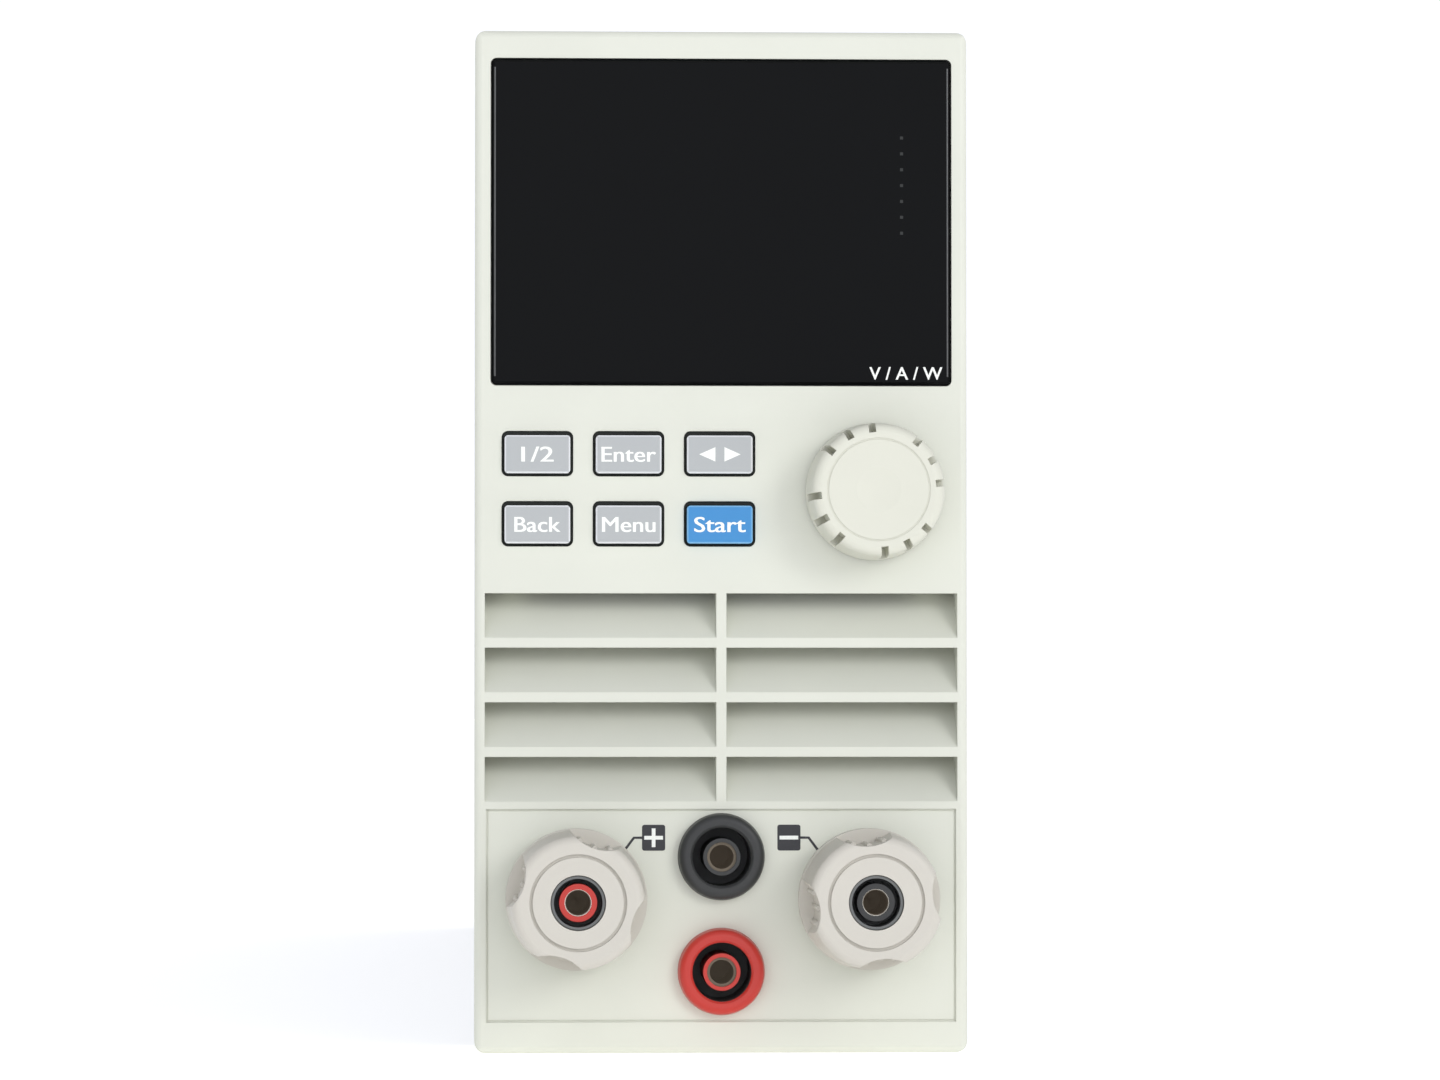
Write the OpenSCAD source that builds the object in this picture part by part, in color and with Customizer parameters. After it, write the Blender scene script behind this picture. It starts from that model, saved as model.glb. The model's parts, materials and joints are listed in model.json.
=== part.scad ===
// Plug-in dc electronic load module: a tall moulded front panel with a display window,
// six keys, a rotary dial, a louvred air inlet, two screw-down power terminals and two
// sense sockets, on a long sheet-metal case with a heat-sink tunnel and a rear fan.
// Every module is drawn with y = 0 on the panel's front face and z = 0 on the base.

/* [Overall] */
// Depth from the front of the terminal knobs to the tips of the rear guide pins
overall_d = 573; // [480:1:640]

/* [Front panel] */
// Width of the moulded front panel
panel_w = 82; // [74:0.5:92]
// Height of the moulded front panel
panel_h = 170; // [154:0.5:186]
// Depth of the moulded front panel, front face to rear edge
panel_d = 24; // [23:0.5:30]
// Thickness of the front panel's face
face_t = 2.5; // [2.3:0.1:3]
// Thickness of the front panel's side walls
wall_t = 1.7; // [1.5:0.1:1.9]
// Radius of the front panel's four corners, seen from the front
corner_r = 2; // [1:0.1:3]
// Radius along the front panel's front edges
edge_r = 1.2; // [0.6:0.1:1.4]

/* [Display window] */
// Distance from the panel's side edges to the window opening
window_side = 2.6; // [2.4:0.1:6]
// Distance from the upper keys to the window opening
window_gap = 8.3; // [8:0.1:12]
// Distance from the panel's top edge down to the window opening
window_top = 4.6; // [4:0.1:5]
// Corner radius of the window opening
window_r = 1; // [0.6:0.1:2]
// Thickness of the smoked lens
lens_t = 2; // [1.8:0.1:2.4]
// How far the lens stands out of the panel's face
lens_proud = 0.3; // [0.2:0.05:0.5]
// Bevel around the lens's front edge
lens_bevel = 0.5; // [0.3:0.05:0.7]
// Gap between the lens and its pocket
lens_gap = 0.15; // [0.1:0.01:0.2]
// Width of the ledge that the lens is bonded to
lens_ledge = 3.5; // [2.5:0.1:4]
// Thickness of the display glass and its frame
display_t = 7; // [5:0.5:8]

/* [Keys] */
// Width of a key cap
key_w = 10.9; // [9:0.1:11.5]
// Height of a key cap
key_h = 6.3; // [5:0.1:6.6]
// Corner radius of a key cap
key_r = 0.6; // [0.4:0.1:1]
// Rounding along a key cap's front edge
key_edge_r = 0.45; // [0.3:0.05:0.6]
// How far a key cap stands out of the panel's face
key_proud = 1.4; // [1.2:0.1:2]
// How far a key moves when it is pressed
key_travel = 1; // [0.6:0.1:1.2]
// Sliding gap around a key cap
key_slide_gap = 0.12; // [0.1:0.01:0.2]
// Thickness of the dark rim around each key
key_rim_t = 0.3; // [0.25:0.05:0.5]
// How much thicker that rim is above each key
key_brow = 0.25; // [0.1:0.05:0.5]
// Gap between that rim and the panel
key_rim_gap = 0.08; // [0.05:0.01:0.15]
// How far that rim lies below the panel's face
key_rim_sink = 0.5; // [0.3:0.1:0.9]
// Key spacing across the panel
key_pitch_x = 15.15; // [14.6:0.05:16]
// Key spacing up the panel
key_pitch_z = 11.66; // [11:0.02:12]
// Distance from the panel's left edge to the centre of the left-hand keys
key_side = 10.4; // [9.6:0.1:11]
// Height of the lower keys' centre above the air inlet
key_rise = 11.4; // [11.2:0.1:11.8]

/* [Dial] */
// Distance from the panel's right edge to the dial's axis
dial_side = 15.6; // [14:0.1:17]
// Height of the dial's centre above the air inlet
dial_rise = 16.9; // [15:0.1:18]
// Largest diameter of the dial
dial_d = 22.8; // [20:0.1:24]
// Diameter of the dial just behind its rounded front edge
dial_front_d = 21.9; // [19:0.1:22.2]
// Height of the dial
dial_h = 12; // [10:0.5:16]
// Gap between the dial and the panel
dial_gap = 0.6; // [0.4:0.1:1]
// Diameter of the dial's inlaid cap
dial_cap_d = 16.5; // [15:0.1:17]
// Width of the grip notches in the dial's rim
notch_w = 1.15; // [0.6:0.05:1.4]
// Depth of those notches
notch_depth = 1.5; // [0.8:0.1:1.7]
// Diameter of the encoder's shaft
shaft_d = 6; // [5:0.1:6.3]
// Radial running clearance of shafts in their bushings
running_gap = 0.05; // [0.03:0.01:0.08]

/* [Air inlet] */
// Clear height of one inlet slot
slot_h = 7.4; // [6.6:0.1:7.6]
// Height of the slat edge between two slots
slat_h = 1.67; // [1.4:0.01:1.8]
// Width of the bar down the middle of the inlet
mullion_w = 1.7; // [1.2:0.1:3]
// Depth of the slats behind the panel's face
slat_d = 10; // [8.5:0.1:11]
// Angle at which the slats rise towards the back
slat_angle = 45; // [42:1:52]
// Height of the panel left between the terminal plate and the inlet
inlet_gap = 1.3; // [1:0.1:2]

/* [Terminal plate] */
// Distance from the insides of the panel's walls to the terminal plate
plate_side = 0.3; // [0.2:0.05:1.5]
// Height of the terminal plate
plate_h = 35.2; // [34:0.1:35.6]
// Height of the plate's lower edge above the base
plate_z = 5.2; // [4:0.1:5.6]
// Thickness of the plate
plate_t = 3; // [2.6:0.1:3.4]
// How far the plate lies below the panel's face
plate_sink = 0.4; // [0.2:0.05:0.6]
// Bevel around the plate's front edge
plate_bevel = 0.3; // [0.2:0.05:0.5]
// Gap around the plate
plate_gap = 0.05; // [0.04:0.01:0.25]

/* [Power terminals] */
// Distance from the panel's side edges to the axes of the power terminals
post_side = 16.8; // [15:0.1:18]
// Height of the power terminals above the base
post_z = 25.7; // [22:0.1:27]
// Diameter of a terminal knob across its flange
post_knob_d = 23.4; // [21:0.1:24]
// Height of a terminal knob
post_knob_h = 20; // [19:0.5:24]
// Thickness of the knob's rear flange
post_flange_t = 3; // [2:0.1:4]
// Depth of the four finger flutes
flute_depth = 2.3; // [1.5:0.1:2.6]
// Radius of the finger flutes
flute_r = 7.5; // [6:0.1:9]
// Diameter of the ring groove in the knob's face
post_groove_d = 15.8; // [14.5:0.1:16.2]
// Diameter of the threaded stud
stud_d = 8; // [7:0.1:8.2]
// Length of thread in the knob
post_thread_len = 5; // [4:0.1:5.5]
// How far a terminal knob unscrews
post_travel = 6; // [4:0.1:6.5]
// Diameter of the insulating collar under the knob
collar_d = 19; // [17:0.1:20]
// Thickness of that collar
collar_t = 3; // [2.4:0.1:3.6]
// Thickness of the clamping washer
washer_t = 1.2; // [0.8:0.1:1.6]
// Diameter of the clamping washer
washer_d = 15; // [13:0.1:16]
// Gap between pieces that turn on each other
turn_gap = 0.1; // [0.06:0.01:0.15]

/* [Sockets] */
// Bore of the sockets that take a plug pin
socket_d = 4; // [3.9:0.05:4.2]
// Depth of that bore
socket_len = 18; // [15:0.5:18]
// Outside diameter of the insulating sleeve around a socket
sleeve_d = 6.2; // [6:0.05:6.6]
// Outside diameter of the dark liner inside a terminal knob
liner_d = 8.8; // [8.6:0.05:9.2]
// Distance between the two sense sockets
jack_pitch = 19.05; // [18.2:0.05:19.4]
// Height of the lower sense socket above the base
jack_z = 13.5; // [13:0.1:14]
// Diameter of a sense socket's coloured ring
jack_ring_d = 14.5; // [13.5:0.1:15]
// How far that ring stands out of the terminal plate
jack_ring_h = 3; // [2.5:0.1:4]
// Diameter of the round cavity inside the ring
jack_cavity_d = 9.8; // [9.4:0.05:10]
// Diameter of the socket's barrel behind the ring
jack_barrel_d = 11.6; // [11.2:0.1:11.9]

/* [Case] */
// Thickness of the case's base, top and end sheets
sheet_t = 1.2; // [1:0.1:1.5]
// Thickness of the side panels
side_t = 1; // [0.8:0.1:1.2]
// How far the top sheet lies below the front panel's top edge
case_drop = 1; // [0.5:0.1:2]
// Height of the turned-in flanges along the base and top
flange_h = 13; // [11:0.5:14]
// Depth of the turned-in flanges at the front and rear
end_flange_d = 12; // [10:0.5:14]
// Shank diameter of the case screws
screw_d = 3; // [2.5:0.1:3.2]
// Distance from the rear fixing holes to the base and to the top
fix_z = 12; // [10:0.5:16]
// Diameter of the rear fixing holes
fix_d = 4.2; // [3.2:0.1:4.4]

/* [Cooling and electronics] */
// Frame size of the rear fan
fan_size = 70; // [63:0.5:78]
// Depth of the fan's frame
fan_depth = 25; // [22:0.5:32]
// Height of the fan's axis above the base
fan_z = 78; // [74:0.5:80]
// Length of the heat sinks
sink_len = 400; // [300:1:400]
// Thickness of the heat sinks' base plates
sink_base_t = 7; // [5:0.1:8]
// Length of the standoffs between the heat sinks and the side panels
standoff_len = 8.2; // [7.4:0.1:10]
// Thickness of a heat-sink fin
fin_t = 1.6; // [1.2:0.1:2]
// Spacing of the fins
fin_pitch = 6.8; // [6.2:0.1:7.4]
// Gap between the power board and the heat sinks below it
board_lift = 6; // [5:0.1:8]
// Thickness of the circuit boards
board_t = 1.6; // [1.2:0.1:2]
// How far the guide pins stand out of the rear panel
pin_len = 16; // [12:0.5:20]
// Diameter of the guide pins
pin_d = 5; // [4:0.1:6]

/* [Hidden] */
$fn = 64;

// Colours
ivory = "#e6e7dd";
ivory_dark = "#dadacf";
smoked = "#1b1d1f";
key_grey = "#b9bcc0";
key_blue = "#3f86cc";
black = "#1f2021";
dark_grey = "#3a3c3e";
red = "#d0312d";
steel = "#b9bcbe";
nickel = "#c9c6bd";
aluminium = "#c4c7c9";
copper = "#b87344";
board_green = "#1f5a3a";
can_blue = "#2b3550";

// A small overlap that makes cuts run clean through
over = 1;
// Clearance between pieces that are assembled once and then stay
fit_gap = 0.1;

// Front panel levels
inner_w = panel_w - 2 * wall_t;
case_w = inner_w - 2 * fit_gap;
inlet_rows = 4;
slot_pitch = slot_h + slat_h;
inlet_z = plate_z + plate_h + inlet_gap;
inlet_h = inlet_rows * slot_pitch - slat_h;
inlet_top = inlet_z + inlet_h;
key_low_z = inlet_top + key_rise;
window_low_z = key_low_z + key_pitch_z + key_h / 2 + window_gap;
window_w = panel_w - 2 * window_side;
window_h = panel_h - window_top - window_low_z;
window_z = window_low_z + window_h / 2;
lens_back_y = lens_t - lens_proud;

// Bosses that carry the control board and the bulkhead
boss_d = 6;
boss_tip_d = 4.4;
boss_pilot_d = 2.5;
boss_pilot_len = 7;
boss_inset = 4.2;
boss_low_gap = 0.2;
boss_high_gap = 0.6;
boss_x = inner_w / 2 - boss_inset;
boss_low_z = inlet_top + boss_d / 2 + boss_low_gap;
boss_high_z = window_low_z - lens_gap - boss_d / 2 - boss_high_gap;
bulkhead_y = panel_d - sheet_t;

// Keys
key_frame_t = 1.5;
key_frame_margin = 0.8;
key_lip = 0.8;
key_lip_t = 1;
key_stop_gap = 0.1;
key_stem_d = 4;
dome_base_d = 8;
dome_top_d = 5;
dome_pressed_h = 2;
dome_h = dome_pressed_h + key_travel;
dome_wall = 0.8;
mat_t = 1;
key_left_x = panel_w / 2 - key_side;
key_rim_w = 2 * (key_slide_gap + key_rim_t);
key_hole_w = key_rim_w + 2 * key_rim_gap;
key_lip_y = face_t + key_frame_t + key_stop_gap;
key_stem_len = 4;
board_y = key_lip_y + key_lip_t + key_stem_len + dome_h + mat_t;
key_field_w = 2 * key_pitch_x + key_w + key_hole_w;
key_field_h = key_pitch_z + key_h + key_hole_w;

// Dial and encoder
dial_x = panel_w / 2 - dial_side;
dial_z = inlet_top + dial_rise;
dial_cap_t = 1.2;
dial_cap_gap = 0.05;
dial_ring_w = 0.25;
dial_ring_depth = 0.35;
dial_dish = 0.2;
dial_dish_r = 34;
dial_recess_d = dial_cap_d + 2 * dial_ring_w;
dial_front_y = -dial_gap - dial_h;
dial_round = 1.6;
dial_skirt_h = 3;
notch_step = 22.5;
notch_turn = 6;
dial_web_t = 1;
bushing_gap = 1;
bushing_wall = 1.2;
bushing_d = shaft_d + 2 * bushing_wall;
encoder_w = 13;
encoder_can_t = 6.7;
encoder_floor_t = 1;
shaft_tip_gap = 1.4;
shaft_end_gap = 0.2;
shaft_flat = 1.5;

// Terminal plate and what passes through it
plate_w = inner_w - 2 * plate_side;
post_pitch = panel_w - 2 * post_side;
plate_r = 0.4;
plate_back_y = plate_sink + plate_t;
ledge_w = 3;
ledge_t = 2;
collar_wall = 1.6;
collar_barrel_d = stud_d + 2 * collar_wall;
collar_front_y = plate_sink - collar_t;
washer_front_y = collar_front_y - washer_t;
knob_back_y = washer_front_y - turn_gap;
knob_front_y = knob_back_y - post_knob_h;
liner_back_y = knob_back_y - post_thread_len - post_travel - turn_gap;
liner_floor_t = 1;
liner_wall = 0.45;
liner_recess = 0.5;
sleeve_recess = 1.4;
sleeve_lip_t = 0.9;
neck_wall = 0.65;
neck_d = socket_d + 2 * neck_wall;
neck_front_y = knob_front_y + sleeve_recess + sleeve_lip_t + fit_gap;
post_lip_cover = 0.45;
busbar_t = 2;
busbar_w = 16;
busbar_gap = 0.6;
busbar_y = plate_back_y + busbar_gap;
busbar_side = 6.2;
busbar_run_x = case_w / 2 - busbar_side;
riser_gap = 4;
riser_y = panel_d + riser_gap;
riser_d = 12;
nut_rim = 2.4;
nut_w = stud_d + 2 * nut_rim;
nut_t = 6.5;
stud_tail = 1.5;
knob_edge = 0.4;
knob_step = 0.2;
knob_taper = 0.6;
knob_round = 1.5;
flute_count = 4;
flute_rib_d = 0.9;
flute_rib_angle = 20;
flute_rib_setback = 3;
post_rest_turn = [-17, 6];
groove_w = 0.5;
groove_depth = 0.5;

// Sense sockets
jack_front_y = plate_sink - jack_ring_h;
jack_lip_t = 0.9;
jack_barrel_len = 18;
jack_cavity_len = 14;
jack_sleeve_recess = 0.7;
jack_lip_cover = 0.2;
jack_contact_tail = 3;
jack_tail_d = 2;
jack_nut_rim = 1.1;
jack_nut_d = jack_barrel_d + 2 * jack_nut_rim;
jack_nut_t = 3;

// Case levels
front_reach = -knob_front_y;
body_d = overall_d - front_reach - pin_len;
origin_y = -(body_d + pin_len - front_reach) / 2;
case_top = panel_h - case_drop;
flange_z = sheet_t + flange_h;
side_gap = 0.8;
bend_r = 1.8;
fix_pitch = case_top - 2 * fix_z;
case_len = body_d - panel_d;
rear_inner_y = body_d - sheet_t;
sink_setback = 20;
sink_y = panel_d + sink_setback;
sink_w = case_w - 2 * standoff_len;
sink_z = fan_z - fan_size / 2;
sink_top_z = fan_z + fan_size / 2;

// Tabs at both ends of the case, below and above the air tunnel, as [low, high]
tab_margin = 4;
tab_gap = 2;
end_tabs = [[flange_z + tab_margin, sink_z - tab_gap],
    [sink_top_z + tab_gap, case_top - flange_z - tab_margin]];

// Case screws, as [distance from the front of the case, height]
screw_len = 3.5;
screw_head_d = 5.6;
screw_slot_w = 0.7;
screw_slot_len = 3;
screw_slot_depth = 0.6;
screw_end = 26;
screw_rows = 4;
screw_step = (case_len - 2 * screw_end) / (screw_rows - 1);
flange_screw_z = sheet_t + flange_h / 2;
standoff_inset = 60;
standoff_y = [standoff_inset, sink_len - standoff_inset];
standoff_rise = 26;
end_screws = [for (tab = end_tabs, y = [end_flange_d / 2, case_len - sheet_t - end_flange_d / 2])
    [y, (tab[0] + tab[1]) / 2]];
edge_screws = [for (i = [0 : screw_rows - 1], z = [flange_screw_z, case_top - flange_screw_z])
    [screw_end + i * screw_step, z]];
sink_screws = [for (y = standoff_y, s = [-1, 1]) [sink_y - panel_d + y, fan_z + s * standoff_rise]];
side_screws = concat(end_screws, edge_screws, sink_screws);

// Cooling and electronics
sink_tip_gap = 1.5;
fin_count = floor((fan_size - fin_t) / fin_pitch) + 1;
fin_start = (fan_size - (fin_count - 1) * fin_pitch - fin_t) / 2;
standoff_d = 8;
device_count = 6;
device_t = 5;
device_w = 16;
device_h = 21;
device_drop = 24;
device_z = sink_top_z - device_drop;
device_lead_w = 1.2;
device_lead_t = 0.7;
device_lead_pitch = 5.4;
board_z = sink_top_z + board_lift;
board_edge_gap = 1.6;
board_top_z = board_z + board_t;
board_overhang = 1;
board_front_y = riser_y - board_overhang;
spacer_d = 6;
spacer_x = sink_w / 2 - sink_base_t / 2;
can_d = 18;
can_headroom = 15.2;
can_h = case_top - sheet_t - can_headroom - board_top_z;
can_rows = 3;
can_pitch = 22;
can_setback = 120;
can_y = sink_y + can_setback;
cable_w = 20;
cable_t = 1;
cable_x = -18;
cable_rise = 12;
cable_z = board_top_z + cable_rise;
cable_reach = 26;
cable_rear_y = board_front_y + cable_reach;
fan_wall = 2;
fan_hub_d = 30;
fan_hub_t = 4;
fan_hole_d = 4.3;
fan_hole_inset = 5;
fan_hole_pitch = fan_size - 2 * fan_hole_inset;
fan_corner_r = 3;
fan_strut_w = 5;
fan_strut_turn = 20;
fan_blades = 7;
fan_blade_r = 30;
fan_blade_t = 1.5;
fan_blade_offset = 22.2;
fan_blade_lead = 14.1;
fan_tip_gap = 1;
fan_axial_gap = 1.5;
fan_shaft_d = 3;
fan_shaft_seat = 1.5;
fan_screw_d = 3.6;
fan_screw_head_d = 6.6;
fan_screw_head_t = 1.8;
fan_screw_len = 12;
guard_t = 1.4;
guard_ring_w = 1.6;
guard_pitch = 5.6;
guard_bar_w = 2;
guard_lug_d = 9;
guard_disc_d = 14;
guard_rings = 5;
pin_side = 6.7;
pin_x = case_w / 2 - pin_side;
pin_gap = 6.5;
connector_w = 2 * (pin_x - pin_gap);
connector_h = 11;
connector_d = 16;
connector_flange_t = 1.5;
board_rear_y = rear_inner_y - connector_flange_t;
tongue_side = 4;
tongue_w = connector_w - 2 * tongue_side;
tongue_h = 5;
tongue_len = 9;
connector_z = board_top_z + connector_h / 2;
pin_tip_len = 5;
pin_tip_d = 1.7;
pin_collar_d = 9;
pin_collar_t = 2;
pin_tail = 4;
clinch_d = 7;
clinch_t = 3;

// Moves a piece from the panel's own levels to the part's origin
module placed() {
    translate([0, origin_y, 0]) children();
}

// Mirrors a piece to the left when side is negative
module on_side(side) {
    if (side < 0) mirror([1, 0, 0]) children();
    else children();
}

// A copy on each side of the centre plane
module both_sides() {
    for (side = [-1, 1]) on_side(side) children();
}

// Rectangle with round corners, centred
module rounded_rect(w, h, r) {
    square([w - 2 * r, h], center = true);
    square([w, h - 2 * r], center = true);
    for (sx = [-1, 1], sy = [-1, 1])
        translate([sx * (w / 2 - r), sy * (h / 2 - r)]) circle(r);
}

// Pushes an outline drawn in x and z back along y
module front_extrude(depth) {
    translate([0, depth, 0]) rotate([90, 0, 0]) linear_extrude(depth) children();
}

// Side outline, depth by height, with its two front corners rounded
module lead_round(depth, h, r) {
    translate([r, -h / 2]) square([depth - r, h]);
    translate([0, r - h / 2]) square([depth, h - 2 * r]);
    for (s = [-1, 1]) translate([r, s * (h / 2 - r)]) circle(r);
}

// Side outline, depth by height, with its two front corners bevelled
module lead_bevel(depth, h, b) {
    polygon([[0, b - h / 2], [b, -h / 2], [depth, -h / 2],
        [depth, h / 2], [b, h / 2], [0, h / 2 - b]]);
}

// Keeps what lies inside two side outlines: one seen from the side, one from above
module front_profile(w, h) {
    intersection() {
        children(0);
        translate([-w, 0, 0]) rotate([90, 0, 90]) linear_extrude(2 * w) children(1);
        translate([0, 0, -h]) linear_extrude(2 * h) rotate(90) children(2);
    }
}

// Plate with round corners and a rounded front edge
module soft_slab(w, h, depth, corner, edge) {
    front_profile(w, h) {
        front_extrude(depth) rounded_rect(w, h, corner);
        lead_round(depth, h, edge);
        lead_round(depth, w, edge);
    }
}

// Plate with round corners and a bevelled front edge
module bevel_slab(w, h, depth, corner, bevel) {
    front_profile(w, h) {
        front_extrude(depth) rounded_rect(w, h, corner);
        lead_bevel(depth, h, bevel);
        lead_bevel(depth, w, bevel);
    }
}

// Turns a profile, drawn as radius and y, around the y axis
module spin_y() {
    rotate([-90, 0, 0]) rotate_extrude() children();
}

// Round bar along y between two levels
module rod_y(d, from, to) {
    translate([0, from, 0]) rotate([-90, 0, 0]) cylinder(d = d, h = to - from);
}

// Tube along y between two levels
module tube_y(d, bore, from, to) {
    difference() {
        rod_y(d, from, to);
        rod_y(bore, from - over, to + over);
    }
}

// Box between two corners
module span(low, high) {
    translate(low) cube(high - low);
}

// Centre of a key, as x and z
function key_at(col, row) = [col * key_pitch_x - key_left_x, key_low_z + row * key_pitch_z];
key_places = [for (row = [0, 1], col = [0 : 2]) key_at(col, row)];
// Middle of the whole key field
key_middle = (key_at(0, 0) + key_at(2, 1)) / 2;
boss_places = [for (s = [-1, 1], z = [boss_low_z, boss_high_z]) [s * boss_x, z]];
jack_places = [jack_z, jack_z + jack_pitch];

// Moves children to each place of a list of x and z
module at_each(places) {
    for (p = places) translate([p[0], 0, p[1]]) children();
}

// Moulded front panel with its louvred air inlet
module front_bezel() {
    color(ivory) difference() {
        union() {
            difference() {
                translate([0, 0, panel_h / 2])
                    soft_slab(panel_w, panel_h, panel_d, corner_r, edge_r);
                span([-inner_w / 2, face_t, wall_t],
                    [inner_w / 2, panel_d + over, panel_h - wall_t]);
                span([-inner_w / 2, -over, inlet_z], [inner_w / 2, face_t + over, inlet_top]);
            }
            inlet_slats();
            plate_ledges();
            at_each(boss_places) {
                rod_y(boss_d, face_t - wall_t / 2, board_y);
                rod_y(boss_tip_d, board_y - over, bulkhead_y);
            }
        }
        translate([0, -over, window_z])
            front_extrude(over + lens_back_y) rounded_rect(window_w, window_h, window_r);
        translate([0, 0, window_z]) front_extrude(face_t + over)
            rounded_rect(window_w - 2 * lens_ledge, window_h - 2 * lens_ledge, window_r);
        at_each(key_places) translate([0, -over, key_brow / 2]) front_extrude(face_t + 2 * over)
            rounded_rect(key_w + key_hole_w, key_h + key_hole_w + key_brow, key_r + key_hole_w / 2);
        translate([dial_x, 0, dial_z]) rod_y(bushing_d + 2 * fit_gap, -over, face_t + over);
        translate([0, -over, plate_z + plate_h / 2]) front_extrude(over + plate_back_y)
            square([plate_w + 2 * plate_gap, plate_h + 2 * plate_gap], center = true);
        at_each(boss_places) rod_y(boss_pilot_d, bulkhead_y - boss_pilot_len, bulkhead_y + over);
    }
}

// Slats that rise towards the back, and the bar down their middle
module inlet_slats() {
    rise = slat_d * tan(slat_angle);
    bite = wall_t / 4;
    for (row = [0 : inlet_rows - 1]) {
        sill = inlet_z + row * slot_pitch;
        translate([-inner_w / 2 - bite, 0, 0]) rotate([90, 0, 90])
            linear_extrude(inner_w + 2 * bite) polygon([[0, sill - slat_h], [0, sill],
                [slat_d, sill + rise], [slat_d, sill + rise - slat_h]]);
    }
    span([-mullion_w / 2, 0, inlet_z - inlet_gap / 2],
        [mullion_w / 2, slat_d, inlet_top + face_t / 4]);
}

// Ledges that the terminal plate is bonded to
module plate_ledges() {
    both_sides() span([inner_w / 2 - ledge_w, plate_back_y, plate_z - plate_gap],
        [inner_w / 2 + wall_t / 2, plate_back_y + ledge_t, plate_z + plate_h + plate_gap]);
}

// Separate plate that carries the terminals and sockets
module terminal_plate() {
    color(ivory) difference() {
        translate([0, plate_sink, plate_z + plate_h / 2])
            bevel_slab(plate_w, plate_h, plate_t, plate_r, plate_bevel);
        for (side = [-1, 1]) translate([side * post_pitch / 2, 0, post_z])
            rod_y(collar_barrel_d + 2 * fit_gap, -over, plate_back_y + over);
        for (z = jack_places) translate([0, 0, z])
            rod_y(jack_barrel_d + 2 * fit_gap, -over, plate_back_y + over);
    }
}

// Smoked lens bonded into the panel
module display_window() {
    color(smoked) translate([0, -lens_proud, window_z])
        bevel_slab(window_w - 2 * lens_gap, window_h - 2 * lens_gap, lens_t,
            window_r - lens_gap, lens_bevel);
}

// Display glass in its frame, standing on the control board
module display_panel() {
    frame_gap = 1;
    frame_w = window_w - 2 * lens_ledge - 2 * frame_gap;
    frame_h = window_h - 2 * lens_ledge - 2 * frame_gap;
    frame_lip = 2;
    glass_sink = 0.6;
    color(dark_grey) translate([0, board_y - display_t, window_z]) difference() {
        front_extrude(display_t) square([frame_w, frame_h], center = true);
        translate([0, -over, 0]) front_extrude(over + glass_sink)
            square([frame_w - 2 * frame_lip, frame_h - 2 * frame_lip], center = true);
    }
}

// Control board behind the display and keys
module control_board() {
    edge_gap = 0.5;
    low_z = boss_low_z - boss_d / 2;
    high_z = panel_h - wall_t - edge_gap;
    color(board_green) difference() {
        span([edge_gap - inner_w / 2, board_y, low_z],
            [inner_w / 2 - edge_gap, board_y + board_t, high_z]);
        at_each(boss_places) rod_y(boss_tip_d + 2 * fit_gap, board_y - over, board_y + board_t + over);
    }
}

// Dark frame whose rims guide the key caps
module key_frame() {
    margin = 2 * key_frame_margin;
    color(black) difference() {
        union() {
            translate([key_middle[0], face_t, key_middle[1]]) front_extrude(key_frame_t)
                square([key_field_w + margin, key_field_h + margin], center = true);
            at_each(key_places) translate([0, key_rim_sink, key_brow / 2])
                front_extrude(face_t + key_frame_t / 2 - key_rim_sink)
                    rounded_rect(key_w + key_rim_w, key_h + key_rim_w + key_brow, key_r + key_rim_w / 2);
        }
        at_each(key_places) translate([0, -over, 0])
            front_extrude(face_t + key_frame_t + 2 * over) rounded_rect(key_w + 2 * key_slide_gap,
                key_h + 2 * key_slide_gap, key_r + key_slide_gap);
    }
}

// Rubber mat with one hollow dome behind each key
module keypad_mat() {
    color(dark_grey) difference() {
        union() {
            translate([key_middle[0], board_y - mat_t, key_middle[1]]) front_extrude(mat_t)
                square([key_field_w + 2 * key_frame_margin, key_field_h + 2 * key_frame_margin],
                    center = true);
            at_each(key_places) translate([0, board_y - mat_t - dome_h, 0]) rotate([-90, 0, 0])
                cylinder(d1 = dome_top_d, d2 = dome_base_d, h = dome_h);
        }
        at_each(key_places) translate([0, board_y - mat_t - dome_h + dome_wall, 0])
            rotate([-90, 0, 0]) cylinder(d1 = dome_top_d - 2 * dome_wall,
                d2 = dome_base_d - 2 * dome_wall, h = dome_h + mat_t - dome_wall + over / 10);
    }
}

// One key: a cap, the lip that stops it and the stem behind
module key_cap(col, row, tint) {
    place = key_at(col, row);
    color(tint) translate([place[0], 0, place[1]]) {
        translate([0, -key_proud, 0])
            soft_slab(key_w, key_h, key_proud + key_lip_y + key_lip_t / 2, key_r, key_edge_r);
        translate([0, key_lip_y, 0]) front_extrude(key_lip_t)
            square([key_w + 2 * key_lip, key_h + 2 * key_lip], center = true);
        rod_y(key_stem_d, key_lip_y + key_lip_t / 2, key_lip_y + key_lip_t + key_stem_len);
    }
}

// Encoder can and bushing on the control board
module encoder_body() {
    color(nickel) translate([dial_x, 0, dial_z]) difference() {
        union() {
            translate([0, board_y - encoder_can_t, 0]) front_extrude(encoder_can_t)
                square(encoder_w, center = true);
            rod_y(bushing_d, 0, board_y - encoder_can_t / 2);
        }
        rod_y(shaft_d + 2 * running_gap, -over, board_y - encoder_floor_t);
    }
}

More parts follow.
